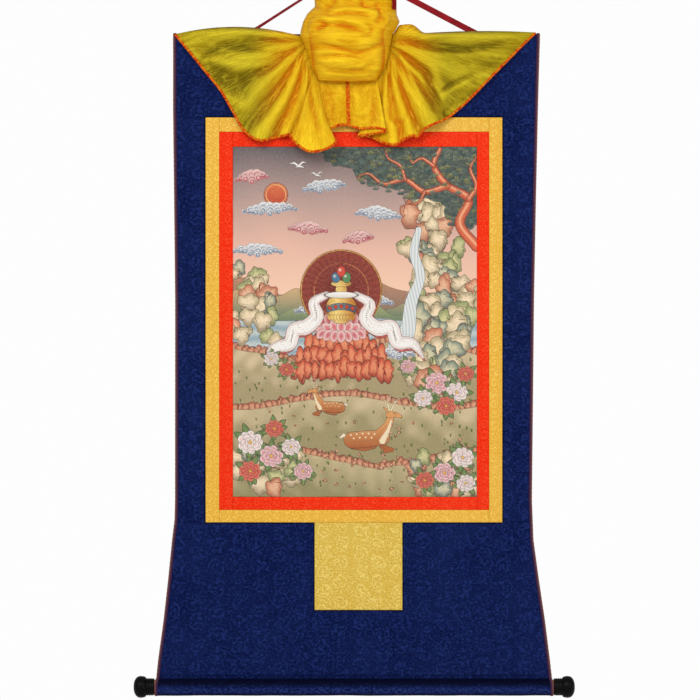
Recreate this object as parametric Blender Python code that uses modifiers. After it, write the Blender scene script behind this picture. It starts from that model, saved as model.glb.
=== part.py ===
"""Hanging scroll painting: a framed picture cloth in a brocade mount, with a roller and a gathered veil.

Sizes are in millimetres and are scaled to metres when a mesh is made. X runs across the scroll, Z up.
The origin is the top of the hanging loop. "Forward" is the distance in front of the mount's face,
towards the viewer, who looks along +Y.
"""

from math import cos, pi, radians, sin

import bpy
import numpy as np

MM = 0.001
GAP = 0.3  # between pieces that touch
LOOP_BEHIND = 5.5  # from the mount's face back to the hanging loop's middle

# The mount's outer edges, its bindings included, all the way down to the sleeve's ends.
MOUNT_EDGES = (
    # height, left, right
    (-99, -234.4, 249.0),
    (-200, -234.4, 246.3),
    (-319, -233.1, 243.6),
    (-450, -231.8, 241.0),
    (-714, -231.8, 238.4),
    (-740, -232.5, 239.4),
    (-766, -235.7, 240.4),
    (-819, -241.0, 247.6),
    (-872, -246.9, 255.5),
    (-925, -254.2, 262.1),
    (-948, -256.6, 264.7),
    (-955, -258.8, 266.7),
)
PANEL_THICK = 1.5
BACK = -PANEL_THICK  # the back face of every sheet in the mount, as a forward distance
BINDING_WIDTH = 4.5
BINDING_THICK = 2.1
# How finely the sheets are divided.
TOP_COLUMNS, SIDE_COLUMNS, LEVEL_COLUMNS, PICTURE_COLUMNS, DOOR_COLUMNS = 13, 5, 10, 9, 4
SKIRT_COLUMNS = 6  # on each side of the door panel
ABOVE_ROWS, BESIDE_ROWS, NOTCH_ROWS, LOWER_ROWS = 4, 13, 4, 4

# The heading: the rolled hem along the top edge.
HEADING = (
    # height, back face, front face
    (-120.5, -1.5, 0.0),
    (-117.5, -2.4, 1.5),
    (-110.0, -4.0, 2.0),
    (-103.5, -3.8, 1.7),
    (-99.4, -2.6, 0.5),
)
HEADING_DEEPEST = 6.0
FLAT_FROM = -132.0  # below the heading's hem the cloth is flat again

# The two brocade borders and the picture, from outside to inside: left, right, top and bottom widths.
GOLD_BOX = {"left": -191.6, "right": 199.3, "top": -210.0, "bottom": -743.4}
GOLD_WIDTH = {"left": 18.0, "right": 17.5, "top": 19.0, "bottom": 16.5}
RED_WIDTH = {"left": 18.0, "right": 16.0, "top": 19.7, "bottom": 17.0}
GOLD_THICK = 2.1
RED_THICK = 1.9
PAINTING_THICK = 1.6
DOOR_BOX = {"left": -48.0, "right": 67.6, "bottom": -858.7}
DOOR_THICK = 1.9

# Slow waves of the hanging mount, which fade out towards the heading and the roller.
WAVES = (
    # pitch across, pitch down, start, height
    (310, 900, 0.3, 0.9),
    (190, -640, 2.1, 0.6),
    (130, 420, 4.0, 0.35),
)
WAVE_TOP, WAVE_FOOT, WAVE_FADE = -123.4, -935.6, 60.0

# The roller in its sleeve, which is the hem of the skirt.
ROLL_HEIGHT = -960.1
SEAM_HEIGHT = -947.6
ABOVE_SEAM = 8.0  # where the skirt's rows end and the sleeve's begin
ROLL_FORWARD = -1.65
SLEEVE_RADIUS = 10.0  # inside
ROD_RADIUS = SLEEVE_RADIUS - GAP
SLEEVE_STEPS = 20
HEM_OVERLAP = 7.0
ROD_CHAMFER = 0.5
KNOB_NECK = 11.1
KNOB_RIM = 14.5
KNOB_BULB = 15.5  # its length
NECK_LENGTH = {"left": 11.8, "right": 12.3}
DOME_DEPTH = 9.5
DOME_ROUNDNESS = 0.8
DOME_STEPS = 6
# From the bulb's back down to the neck.
KNOB_HOLLOW = (
    # radius less than the rim's, length past the neck
    (0.4, 4.0),
    (1.8, 1.8),
    (2.9, 0.4),
    (3.4, -1.2),
)
KNOB_CHAMFER = 0.8
KNOB_STEPS = 32

# The hanging tape.
TAPE_WIDTH = 8.0
TAPE_THICK = 1.0
TAPE_ROUTE = (
    # across, forward of the loop, height, turn of the width from facing the viewer to edge on
    (-150.0, 0.5, -108.6, 0),
    (-135.0, 0.5, -99.0, 0),
    (-128.7, 0.3, -94.9, 45),
    (-122.5, 0.0, -90.9, 90),
    (-95.0, 0.0, -73.2, 90),
    (-67.0, 0.0, -55.2, 90),
    (-38.0, 0.0, -37.0, 90),
    (-18.0, 0.0, -25.3, 90),
    (-8.3, 0.0, -19.6, 90),
    (-4.0, 0.0, -14.2, 90),
    (-3.4, 0.0, -7.5, 90),
    (-3.3, 0.0, -4.0, 90),
    (-2.3, 0.0, -1.5, 90),
    (0.0, 0.0, -0.5, 90),
    (2.3, 0.0, -1.5, 90),
    (3.3, 0.0, -4.0, 90),
    (3.4, 0.0, -7.5, 90),
    (4.0, 0.0, -14.2, 90),
    (8.5, 0.0, -19.6, 90),
    (20.0, 0.0, -24.8, 90),
    (35.0, 0.0, -30.7, 65),
    (52.0, 0.0, -39.7, 20),
    (81.7, 0.0, -55.3, 0),
    (119.0, 0.2, -75.0, 0),
    (156.7, 0.4, -94.8, 0),
    (184.0, 0.5, -109.0, 0),
)

# The veil.
VEIL_THICK = 1.0
# The bunch: its outline from the neck down, how far forward its belly, its sides and its back stand.
BUNCH = (
    # height, left, right, belly, sides, back
    (-12, -12.5, 12.5, 14, 7, 0.0),
    (-17, -13.3, 13.8, 15, 7, 0.0),
    (-21, -19, 26, 20, 7.5, 0.3),
    (-29, -32, 42, 27, 8, 0.5),
    (-42, -43, 55, 32, 8.5, 0.5),
    (-55, -48, 60, 34, 9, 0.5),
    (-65, -48, 60, 34, 8.8, 0.5),
    (-75, -58, 60, 36, 8.6, 0.5),
    (-85, -63, 64, 40, 8.4, 1.0),
    (-95, -66, 59, 42, 8.2, 2.6),
    (-103, -67, 54, 43, 8.1, 2.8),
    (-116, -62, 52, 43, 9.2, 2.8),
    (-126, -58, 50, 42, 10.2, 2.8),
    (-137, -54, 47, 40, 11.2, 2.8),
    (-148, -51, 43, 36, 11.9, 2.8),
    (-155, -46, 38, 30, 12.4, 2.8),
    (-164.5, -42, 32, 20, 13.0, 2.8),
)
NECK_HEIGHTS = (-12.0, -17.0, -21.0)
BELLY_ROUNDNESS = 0.85
BACK_ROUNDNESS = 0.6
COLUMN_SPREAD = 0.75  # under 1, the bunch's columns spread across it soon below the neck
BACK_FOOT = -102.0  # where the bunch's back is sewn to the heading
# The cloth above the tie.
HEAD = (
    # height, half width, half depth
    (-7.5, 12.5, 7.0),
    (-4.5, 14.0, 7.5),
    (-1.5, 11.5, 6.0),
    (-0.2, 5.0, 3.0),
)
HEAD_FORWARD = 7.0
HEAD_CROWN = 0.3  # the middle of its top, over the last ring
# The bunch's lower edge: down its side from the gather to the corner, then along under the belly.
GATHER_HEIGHT, CORNER_HEIGHT = -103.0, -162.0
CORNER_ROOT = 0.64  # the root value at the corner
EDGE_DROP = 2.5  # from the corner down to the slit
EDGE_SPREAD = 0.75
# Crosswise folds over the belly, which lie lower on the left than on the right.
BELLY_FOLDS = (
    # height, half length, half width, rise
    (-42, 40, 8, 2.4),
    (-60, 44, 9, -4.2),
    (-78, 42, 8, 3.0),
    (-96, 40, 8, -3.8),
    (-113, 38, 8, 3.2),
    (-130, 38, 7, -3.6),
    (-146, 34, 7, 2.4),
)
BELLY_SLOPE = 0.10

# The veil's free edge from the left corner to the slit, and from the slit to the right corner: one row
# for each fold's crest and valley. Root says how far down the bunch's side the fold starts, 0 at the
# gather and 1 at the slit. Bow lifts the middle of the fold's line, and swell moves it forward. Late folds
# hang down close behind the bunch's edge before they open out.
LEFT_FOLDS = (
    # root, across, height, forward, bow, swell, late
    (0.00, -231.8, -100.8, 2.9, 11, 0, 0),
    (0.03, -221.5, -113.0, 3.8, 9, 6, 0),
    (0.06, -209.0, -128.0, 4.2, 6, 1, 0),
    (0.09, -190.5, -151.0, 4.5, 3, 6, 0),
    (0.12, -171.2, -175.2, 5.0, 0, 1, 0),
    (0.155, -155.5, -202.0, 6.0, 0, 6, 0),
    (0.19, -140.3, -227.8, 8.0, 0, 0, 0),
    (0.25, -121.0, -240.8, 17.0, 0, 0, 0),
    (0.31, -101.4, -237.1, 6.0, 0, 0, 0),
    (0.36, -87.0, -234.2, 9.0, 0, 0, 0),
    (0.41, -64.5, -227.8, 4.5, 0, 0, 0),
    (0.435, -63.5, -229.5, 9.0, 0, 0, 0),
    (0.46, -79.5, -236.0, 17.0, 0, 0, 0.4),
    (0.51, -57.0, -255.7, 27.0, 0, 0, 0.4),
    (0.56, -32.0, -252.5, 26.0, 0, 0, 0.8),
    (0.61, -19.8, -241.5, 20.0, 0, 0, 0.8),
    (0.67, -37.0, -233.0, 9.5, 0, 0, 0.6),
    (0.82, -18.5, -221.5, 11.0, 0, 0, 0.0),
    (1.00, -3.9, -219.9, 9.0, 0, 0, 0),
)
RIGHT_FOLDS = (
    # root, across, height, forward, bow, swell, late
    (1.00, -2.6, -220.6, 9.5, 0, 0, 0),
    (0.84, 12.0, -225.6, 14.0, 0, 0, 0),
    (0.70, 30.0, -224.4, 17.0, 0, 0, 0),
    (0.60, 45.8, -229.2, 18.0, 0, 0, 0),
    (0.54, 8.0, -235.6, 11.0, 0, 0, 0.8),
    (0.49, 24.0, -235.5, 5.5, 0, 0, 0.8),
    (0.45, 42.5, -243.9, 12.0, 0, 0, 0.3),
    (0.41, 56.5, -247.0, 19.0, 0, 0, 0),
    (0.37, 67.2, -241.0, 13.0, 0, 0, 0),
    (0.33, 79.0, -235.0, 19.0, 0, 0, 0),
    (0.29, 91.5, -228.2, 14.0, 0, 0, 0),
    (0.25, 105.0, -221.5, 20.0, 0, 0, 0),
    (0.20, 126.0, -211.5, 8.0, 0, 0, 0),
    (0.17, 139.0, -201.5, 7.5, 0, 6, 0),
    (0.14, 155.0, -187.0, 6.5, 0, 0, 0),
    (0.11, 176.0, -165.5, 6.0, 0, 6, 0),
    (0.07, 204.0, -137.0, 4.5, 1, 0, 0),
    (0.03, 233.0, -108.0, 3.8, 3, 6, 0),
    (0.00, 243.6, -98.4, 2.9, 4, 0, 0),
)
SLIT_SHARE = 0.006  # half the slit's width where it starts, as a share of the way across the bunch
FOLD_STEPS = 2  # columns of faces between one row and the next
BUNCH_STEPS = 13
FAN_STEPS = 8
BACK_COLUMNS = 9
FOLD_SPREAD = 0.72  # under 1, the folds open out early on their way down
LATE_SPREAD = 0.6
TUCK = (0.8, 4.0)  # how far the veil turns in under the bunch, at the gather and at the slit
TUCK_LAYER = 1.65  # between the layers of that turn
TUCK_TOWARDS = (-4.0, -122.0)
FAN_FORWARD = 8.4  # the folds start no further forward than this, behind the bunch's edge

# The tie round the bunch's neck.
TIE_HEIGHT = -12.0
TIE_HALF = (15.2, 13.3)  # across and front to back
TIE_FORWARD = 2.9
TIE_SQUARENESS = 3.0
TIE_FROM, TIE_TO = -20, 305  # degrees round the neck from the right-hand side
TIE_STEPS = 30
TIE_WIDTH = 7.5
TIE_THICK = 0.9
# The tie's free end: heights down the bunch, with the share of the way across its belly.
TAIL = (
    # height, share across
    (-22.0, 0.770),
    (-29.0, 0.800),
    (-40.0, 0.835),
    (-52.0, 0.855),
    (-62.0, 0.865),
    (-70.0, 0.860),
)
TAIL_CLEAR = 2.2

COLOURS = {
    # red, green, blue, roughness
    "navy": (0.006, 0.014, 0.080, 0.62),
    "binding": (0.19, 0.085, 0.060, 0.80),
    "gold": (0.84, 0.48, 0.075, 0.50),
    "red": (0.86, 0.037, 0.010, 0.65),
    "painting": (0.38, 0.36, 0.24, 0.75),
    "door": (0.72, 0.50, 0.10, 0.50),
    "silk": (0.72, 0.42, 0.014, 0.32),
    "ribbon": (0.24, 0.004, 0.010, 0.55),
    "black": (0.010, 0.009, 0.009, 0.30),
    "wood": (0.45, 0.29, 0.15, 0.60),
}


def row_point(across, forward, height):
    """A place in metres from its distance across, forward of the mount's face, and height."""
    return across * MM, -(LOOP_BEHIND + forward) * MM, height * MM


def row_points(across, forward, height):
    """The same for whole arrays, as an array of points."""
    across, forward, height = np.broadcast_arrays(across, forward, height)
    return np.stack(row_point(across, forward, height), axis=-1)


def lookup(table, column, at):
    """A column of a table at a value of its first column, straight between the rows."""
    rows = np.array(sorted(table), float)
    return np.interp(at, rows[:, 0], rows[:, column])


def start_scene():
    for thing in list(bpy.data.objects):
        bpy.data.objects.remove(thing, do_unlink=True)
    parts = bpy.data.collections.new("scroll_painting")
    bpy.context.scene.collection.children.link(parts)
    return parts


def material(colour):
    made = bpy.data.materials.get(colour)
    if made is None:
        red, green, blue, roughness = COLOURS[colour]
        made = bpy.data.materials.new(colour)
        made.use_nodes = True
        shader = made.node_tree.nodes["Principled BSDF"]
        shader.inputs["Base Color"].default_value = (red, green, blue, 1)
        shader.inputs["Roughness"].default_value = roughness
        made.diffuse_color = (red, green, blue, 1)
    return made


def add_object(parts, name, points, faces, colour):
    mesh = bpy.data.meshes.new(name)
    mesh.from_pydata([tuple(p) for p in points], [], faces)
    mesh.materials.append(material(colour))
    piece = bpy.data.objects.new(name, mesh)
    parts.objects.link(piece)
    return piece


def solidify(piece, thickness, offset):
    shell = piece.modifiers.new("Cloth", "SOLIDIFY")
    shell.thickness = thickness * MM
    shell.offset = offset
    shell.use_even_offset = True
    shell.use_quality_normals = True
    return shell


def grid_faces(rows, columns, keep=lambda row, column: True):
    """The faces of a grid of points stored row by row, facing the viewer when rows run down it."""
    found = []
    for row in range(rows - 1):
        for column in range(columns - 1):
            if keep(row, column):
                first = row * columns + column
                found.append((first, first + columns, first + columns + 1, first + 1))
    return found


# ---- the mount


def wave(across, height):
    """How far the hanging cloth stands forward of flat: slow sine waves that fade out at its two ends."""
    total = 0
    for pitch_across, pitch_down, start, rise in WAVES:
        total = total + rise * np.sin(2 * pi * (across / pitch_across + height / pitch_down) + start)
    fade_top = np.clip((WAVE_TOP - height) / WAVE_FADE, 0, 1)
    fade_foot = np.clip((height - WAVE_FOOT) / WAVE_FADE, 0, 1)
    return total * fade_top * fade_foot


def sleeve_path():
    """The sleeve's inside as (forward, height): off the seam, round the roller, and up the back."""
    reach = SEAM_HEIGHT - ROLL_HEIGHT
    leaves = np.arccos(SLEEVE_RADIUS / reach)
    turns = np.linspace(leaves, 2 * pi - leaves, SLEEVE_STEPS + 1)
    path = [(BACK, SEAM_HEIGHT)]
    for turn in turns:
        path.append((ROLL_FORWARD + SLEEVE_RADIUS * sin(turn), ROLL_HEIGHT + SLEEVE_RADIUS * cos(turn)))
    path.append((BACK - GAP, SEAM_HEIGHT))
    path.append((BACK - GAP, SEAM_HEIGHT + HEM_OVERLAP))
    return path


def flat_path(heights):
    return [(BACK, height) for height in heights]


def heading_path():
    return [(back, height) for height, back, _ in HEADING]


def mount_sheet(parts, name, path, columns, thickness, colour, keep=None):
    """A sheet of the mount: its back follows a path down the cloth, and columns gives the places across."""
    points = []
    for forward, height in path:
        across = np.array(columns(height), float)
        points.extend(row_points(across, forward + wave(across, height), height))
    count = len(columns(path[0][1]))
    faces = grid_faces(len(path), count, keep or (lambda row, column: True))
    piece = add_object(parts, name, points, faces, colour)
    solidify(piece, thickness, 1)
    return piece


def panel_edge(side, height):
    """Where the navy cloth ends, beside its binding."""
    inwards = BINDING_WIDTH + GAP
    if side == "left":
        return lookup(MOUNT_EDGES, 1, height) + inwards
    return lookup(MOUNT_EDGES, 2, height) - inwards


def vary_thickness(piece, thicknesses, deepest, count):
    """Gives each row of a sheet its own thickness, as a share of the deepest."""
    group = piece.vertex_groups.new(name="thickness")
    for row, thickness in enumerate(thicknesses):
        group.add(list(range(row * count, (row + 1) * count)), thickness / deepest, "REPLACE")
    shell = piece.modifiers["Cloth"]
    shell.vertex_group = group.name
    shell.thickness = deepest * MM


def heading_thicknesses(flat_rows, extra):
    rolled = [front - back + extra for _, back, front in reversed(HEADING)]
    return rolled + [PANEL_THICK + extra] * flat_rows


def row_heights():
    """The heights of the rows of faces above, beside and below the picture, which neighbours share."""
    above = np.linspace(FLAT_FROM, GOLD_BOX["top"] + GAP, ABOVE_ROWS)
    beside = np.linspace(GOLD_BOX["top"], GOLD_BOX["bottom"], BESIDE_ROWS)
    notch = np.linspace(GOLD_BOX["bottom"] - GAP, DOOR_BOX["bottom"] - GAP, NOTCH_ROWS)
    lower = np.linspace(notch[-1], SEAM_HEIGHT + ABOVE_SEAM, LOWER_ROWS)[1:]
    return above, beside, notch, lower


def add_panels(parts):
    above, beside, _, _ = row_heights()
    top_path = heading_path()[::-1] + flat_path(above)

    def across_top(height):
        return np.linspace(panel_edge("left", height), panel_edge("right", height), TOP_COLUMNS)

    top = mount_sheet(parts, "top_panel", top_path, across_top, PANEL_THICK, "navy")
    vary_thickness(top, heading_thicknesses(len(above), 0), HEADING_DEEPEST, TOP_COLUMNS)

    side_path = flat_path(beside)

    def across_left(height):
        return np.linspace(panel_edge("left", height), GOLD_BOX["left"] - GAP, SIDE_COLUMNS)

    def across_right(height):
        return np.linspace(GOLD_BOX["right"] + GAP, panel_edge("right", height), SIDE_COLUMNS)

    mount_sheet(parts, "side_panel_left", side_path, across_left, PANEL_THICK, "navy")
    mount_sheet(parts, "side_panel_right", side_path, across_right, PANEL_THICK, "navy")


def add_skirt(parts):
    """The skirt with its notch for the door panel, and the sleeve that wraps the roller."""
    notch_left, notch_right = DOOR_BOX["left"] - GAP, DOOR_BOX["right"] + GAP
    _, _, notch, lower = row_heights()
    path = flat_path(notch) + flat_path(lower) + sleeve_path()

    def across(height):
        left = np.linspace(panel_edge("left", height), notch_left, SKIRT_COLUMNS)
        middle = np.linspace(notch_left, notch_right, DOOR_COLUMNS)[1:-1]
        right = np.linspace(notch_right, panel_edge("right", height), SKIRT_COLUMNS)
        return np.concatenate([left, middle, right])

    def outside_notch(row, column):
        first = SKIRT_COLUMNS - 1
        return row >= NOTCH_ROWS - 1 or not first <= column < first + DOOR_COLUMNS - 1

    mount_sheet(parts, "bottom_panel", path, across, PANEL_THICK, "navy", outside_notch)

    def across_door(height):
        return np.linspace(DOOR_BOX["left"], DOOR_BOX["right"], DOOR_COLUMNS)

    door_path = flat_path(np.linspace(GOLD_BOX["bottom"] - GAP, DOOR_BOX["bottom"], NOTCH_ROWS))
    mount_sheet(parts, "door_panel", door_path, across_door, DOOR_THICK, "door")


def inset(box, widths):
    return {
        "left": box["left"] + widths["left"],
        "right": box["right"] - widths["right"],
        "top": box["top"] - widths["top"],
        "bottom": box["bottom"] + widths["bottom"],
    }


def add_border(parts, name, box, widths, thickness, colour):
    """Four strips inside a box: the upright ones run its full height, and the level ones butt on them."""
    inner = inset(box, widths)

    def strip(side, heights, ends):
        mount_sheet(parts, f"{name}_{side}", flat_path(heights), lambda height: ends, thickness, colour)

    uprights = {
        "left": (box["left"], inner["left"] - GAP),
        "right": (inner["right"] + GAP, box["right"]),
    }
    for side, (first, last) in uprights.items():
        strip(side, np.linspace(box["top"], box["bottom"], BESIDE_ROWS), (first, last))
    levels = {
        "top": (box["top"], inner["top"] + GAP),
        "bottom": (inner["bottom"] - GAP, box["bottom"]),
    }
    for side, (upper, lower) in levels.items():
        strip(side, (upper, lower), np.linspace(inner["left"], inner["right"], LEVEL_COLUMNS))
    return inner


def add_picture(parts):
    red_box = add_border(parts, "gold_border", GOLD_BOX, GOLD_WIDTH, GOLD_THICK, "gold")
    picture = add_border(parts, "red_border", red_box, RED_WIDTH, RED_THICK, "red")
    ends = np.linspace(picture["left"], picture["right"], PICTURE_COLUMNS)
    path = flat_path(np.linspace(picture["top"], picture["bottom"], BESIDE_ROWS))
    mount_sheet(parts, "painting", path, lambda height: ends, PAINTING_THICK, "painting")


def add_bindings(parts):
    """A narrow strip down each side of the mount and on round the sleeve's end."""
    above, beside, notch, lower = row_heights()
    heights = np.concatenate([above, beside[1:], notch[1:], lower])
    path = heading_path()[::-1] + flat_path(heights) + sleeve_path()
    extra = BINDING_THICK - PANEL_THICK
    thicknesses = heading_thicknesses(len(path) - len(HEADING), extra)

    def across_left(height):
        edge = lookup(MOUNT_EDGES, 1, height)
        return edge, edge + BINDING_WIDTH

    def across_right(height):
        edge = lookup(MOUNT_EDGES, 2, height)
        return edge - BINDING_WIDTH, edge

    for side, across in (("left", across_left), ("right", across_right)):
        strip = mount_sheet(parts, f"edge_binding_{side}", path, across, BINDING_THICK, "binding")
        vary_thickness(strip, thicknesses, HEADING_DEEPEST + extra, 2)


# ---- the roller


def turned(parts, name, profile, colour, place, along):
    """A turned piece from (radius, height) points, with its axis laid along +X or -X from a place."""
    mesh = bpy.data.meshes.new(name)
    points = [(radius * MM, 0, height * MM) for radius, height in profile]
    mesh.from_pydata(points, [(i, i + 1) for i in range(len(points) - 1)], [])
    mesh.materials.append(material(colour))
    piece = bpy.data.objects.new(name, mesh)
    piece.location = row_point(*place)
    piece.rotation_euler = (0, along * pi / 2, 0)
    screw = piece.modifiers.new("Turn", "SCREW")
    screw.steps = KNOB_STEPS
    screw.render_steps = KNOB_STEPS
    screw.use_merge_vertices = True
    screw.merge_threshold = 0.00005
    screw.use_smooth_shade = True
    parts.objects.link(piece)
    return piece


def knob_profile(neck):
    """From the domed end down to the neck's foot."""
    length = neck + KNOB_BULB
    dome = []
    for step in range(DOME_STEPS + 1):
        turn = pi / 2 * step / DOME_STEPS
        dome.append((KNOB_RIM * sin(turn) ** DOME_ROUNDNESS, length - DOME_DEPTH * (1 - cos(turn))))
    hollow = [(KNOB_RIM - smaller, neck + past) for smaller, past in KNOB_HOLLOW]
    foot = [(KNOB_NECK, KNOB_CHAMFER), (KNOB_NECK - KNOB_CHAMFER, 0.0), (0.0, 0.0)]
    return dome + hollow + foot


def rod_profile(length):
    """From one end of the rod to the other."""
    near = [(ROD_RADIUS, ROD_CHAMFER), (ROD_RADIUS - ROD_CHAMFER, 0), (0, 0)]
    far = [(radius, length - along) for radius, along in reversed(near)]
    return far + near


def add_roller(parts):
    sleeve_left = lookup(MOUNT_EDGES, 1, ROLL_HEIGHT)
    sleeve_right = lookup(MOUNT_EDGES, 2, ROLL_HEIGHT)
    rod = rod_profile(sleeve_right - sleeve_left)
    turned(parts, "roller", rod, "wood", (sleeve_left, ROLL_FORWARD, ROLL_HEIGHT), 1)
    ends = {"left": (sleeve_left - GAP, -1), "right": (sleeve_right + GAP, 1)}
    for side, (across, along) in ends.items():
        profile = knob_profile(NECK_LENGTH[side])
        turned(parts, f"knob_{side}", profile, "black", (across, ROLL_FORWARD, ROLL_HEIGHT), along)


# ---- tapes


def swept_tape(parts, name, path, flat_normals, width, thickness, colour):
    """A flat tape along a path of row points in mm; each normal says which way its face looks there."""
    path = np.array(path, float)
    along = np.gradient(path, axis=0)
    along /= np.linalg.norm(along, axis=1)[:, None]
    normals = np.array(flat_normals, float)
    normals -= (normals * along).sum(1)[:, None] * along
    normals /= np.linalg.norm(normals, axis=1)[:, None]
    sideways = np.cross(along, normals)
    rings = []
    for across, out in ((-1, 1), (1, 1), (1, -1), (-1, -1)):
        rings.append(path + sideways * across * width / 2 + normals * out * thickness / 2)
    rings = np.stack(rings, axis=1)
    count = len(path)
    faces = []
    for row in range(count - 1):
        for corner in range(4):
            following = (corner + 1) % 4
            first, second = row * 4, row * 4 + 4
            faces.append((first + corner, second + corner, second + following, first + following))
    faces.append((0, 1, 2, 3))
    last = 4 * (count - 1)
    faces.append((last + 3, last + 2, last + 1, last))
    points = rings.reshape(-1, 3)
    piece = add_object(parts, name, row_points(points[:, 0], points[:, 1], points[:, 2]), faces, colour)
    return piece


def smooth_rows(table, steps):
    """The table's rows with more between them, on a curve through every row (Catmull-Rom)."""
    rows = np.array(table, float)
    padded = np.concatenate([2 * rows[:1] - rows[1:2], rows, 2 * rows[-1:] - rows[-2:-1]])
    before, here, there, after = padded[:-3], padded[1:-2], padded[2:-1], padded[3:]
    found = []
    for step in range(steps):
        t = step / steps
        found.append(
            0.5
            * (
                2 * here
                + (there - before) * t
                + (2 * before - 5 * here + 4 * there - after) * t**2
                + (3 * here - before - 3 * there + after) * t**3
            )
        )
    made = np.stack(found, axis=1).reshape(-1, rows.shape[1])
    return np.concatenate([made, rows[-1:]])


def add_hanging_tape(parts):
    rows = smooth_rows(TAPE_ROUTE, 2)
    path = np.stack([rows[:, 0], rows[:, 1] - LOOP_BEHIND, rows[:, 2]], axis=1)
    along = np.gradient(path, axis=0)
    along /= np.linalg.norm(along, axis=1)[:, None]
    facing = np.array([0.0, 1.0, 0.0])
    edge_on = np.cross(along, facing)
    turn = np.radians(rows[:, 3])[:, None]
    normals = facing * np.cos(turn) + edge_on * np.sin(turn)
    swept_tape(parts, "hanging_ribbon", path, normals, TAPE_WIDTH, TAPE_THICK, "ribbon")


# ---- the veil


def belly(height, share):
    """A place on the bunch's front as (across, forward), with share 0 at its left side and 1 at its right.

    Each level section is half an ellipse, a little fuller, with the crosswise folds on it.
    """
    left = lookup(BUNCH, 1, height)
    right = lookup(BUNCH, 2, height)
    front = lookup(BUNCH, 3, height)
    side = lookup(BUNCH, 4, height)
    middle, half = (left + right) / 2, (right - left) / 2
    across = middle - half * np.cos(pi * share)
    round_front = np.clip(np.sin(pi * share), 0, 1) ** BELLY_ROUNDNESS
    forward = side + (front - side) * round_front
    for level, half_length, half_width, rise in BELLY_FOLDS:
        down = (height + BELLY_SLOPE * across - level) / half_width
        sideways = (across - middle) / half_length
        forward = forward + rise * np.exp(-(down**2)) * np.clip(1 - sideways**2, 0, 1)
    return across, forward


def bunch_back(height, share):
    """A place on the bunch's back, share 0 at its left side to 1 at its right."""
    left = lookup(BUNCH, 1, height)
    right = lookup(BUNCH, 2, height)
    side = lookup(BUNCH, 4, height)
    back = lookup(BUNCH, 5, height)
    across = (left + right) / 2 - (right - left) / 2 * np.cos(pi * share)
    return across, side + (back - side) * np.sin(pi * share) ** BACK_ROUNDNESS


def root_place(root, side):
    """Height and share across where a fold starts: down the bunch's side, then along its lower edge."""
    down = np.clip(root / CORNER_ROOT, 0, 1)
    inward = np.clip((root - CORNER_ROOT) / (1 - CORNER_ROOT), 0, 1)
    height = GATHER_HEIGHT + (CORNER_HEIGHT - GATHER_HEIGHT) * down - EDGE_DROP * np.sin(inward * pi / 2)
    share = (0.5 - SLIT_SHARE) * inward**EDGE_SPREAD
    return height, share if side == "left" else 1 - share


def veil_columns():
    """One row for each column of the veil, left to right: root height, root share, and the free edge."""
    found = []
    for table, side in ((LEFT_FOLDS, "left"), (RIGHT_FOLDS, "right")):
        rows = smooth_rows(table, FOLD_STEPS)
        height, share = root_place(rows[:, 0], side)
        found.append(np.column_stack([height, share, rows[:, 0], rows[:, 1:]]))
    return found


def bunch_heights(foot):
    """The heights of the bunch's rows: the neck's own, then evenly down to the foot of each column."""
    even = np.linspace(0, 1, BUNCH_STEPS + 1)[1:, None]
    foot = np.atleast_1d(foot)
    neck = np.repeat(np.array(NECK_HEIGHTS, float)[:, None], len(foot), axis=1)
    return np.concatenate([neck, neck[-1] + (foot - neck[-1]) * even])


def bunch_rows(columns, neck_shares):
    """The bunch's front, from the neck down to where the folds start."""
    rows = []
    for height in bunch_heights(columns[:, 0]):
        up = (height - columns[:, 0]) / (NECK_HEIGHTS[0] - columns[:, 0])
        share = columns[:, 1] + (neck_shares - columns[:, 1]) * up**COLUMN_SPREAD
        across, forward = belly(height, share)
        rows.append(np.stack([across, forward, height], axis=1))
    return rows


def tuck_rows(border, root):
    """The turn under the bunch's edge: in, and back out one layer further behind."""
    towards = np.array(TUCK_TOWARDS) - border[:, [0, 2]]
    towards /= np.linalg.norm(towards, axis=1)[:, None]
    depth = TUCK[0] + (TUCK[1] - TUCK[0]) * root
    rows = []
    for inward, layer in ((0.0, 1), (1.0, 1), (1.0, 2)):
        row = border.copy()
        row[:, 0] += towards[:, 0] * depth * inward
        row[:, 2] += towards[:, 1] * depth * inward
        row[:, 1] -= TUCK_LAYER * layer
        rows.append(row)
    rows[-1][:, 1] = np.minimum(rows[-1][:, 1], FAN_FORWARD)
    return rows


def fan_rows(start, columns):
    """The folds on their way to the free edge: straight lines that open out early and bow where told."""
    rows = []
    for step in range(1, FAN_STEPS + 1):
        down = step / FAN_STEPS
        opened = down ** (FOLD_SPREAD + LATE_SPREAD * columns[:, 8])
        across = start[:, 0] + (columns[:, 3] - start[:, 0]) * down ** (1 + columns[:, 8])
        height = start[:, 2] + (columns[:, 4] - start[:, 2]) * down + columns[:, 6] * 4 * down * (1 - down)
        forward = start[:, 1] + (columns[:, 5] - start[:, 1]) * opened + columns[:, 7] * np.sin(pi * opened)
        rows.append(np.stack([across, forward, height], axis=1))
    return rows


def back_rows():
    """The bunch's back, right to left, from the neck down to the heading."""
    shares = 1 - np.arange(1, BACK_COLUMNS + 1) / (BACK_COLUMNS + 1)
    rows = []
    for height in bunch_heights(BACK_FOOT)[:, 0]:
        across, forward = bunch_back(height, shares)
        rows.append(np.stack([across, forward, np.full_like(across, height)], axis=1))
    return rows


def head_rows(neck_shares):
    """Rings of the cloth above the tie, lowest first, with the same columns as the neck."""
    back_shares = 1 - np.arange(1, BACK_COLUMNS + 1) / (BACK_COLUMNS + 1)
    turn = np.concatenate([pi * neck_shares, 2 * pi - pi * back_shares])
    rows = []
    for height, half_width, half_depth in HEAD:
        across = -half_width * np.cos(turn)
        forward = HEAD_FORWARD + half_depth * np.sin(turn)
        rows.append(np.stack([across, forward, np.full_like(across, height)], axis=1))
    return rows


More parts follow.
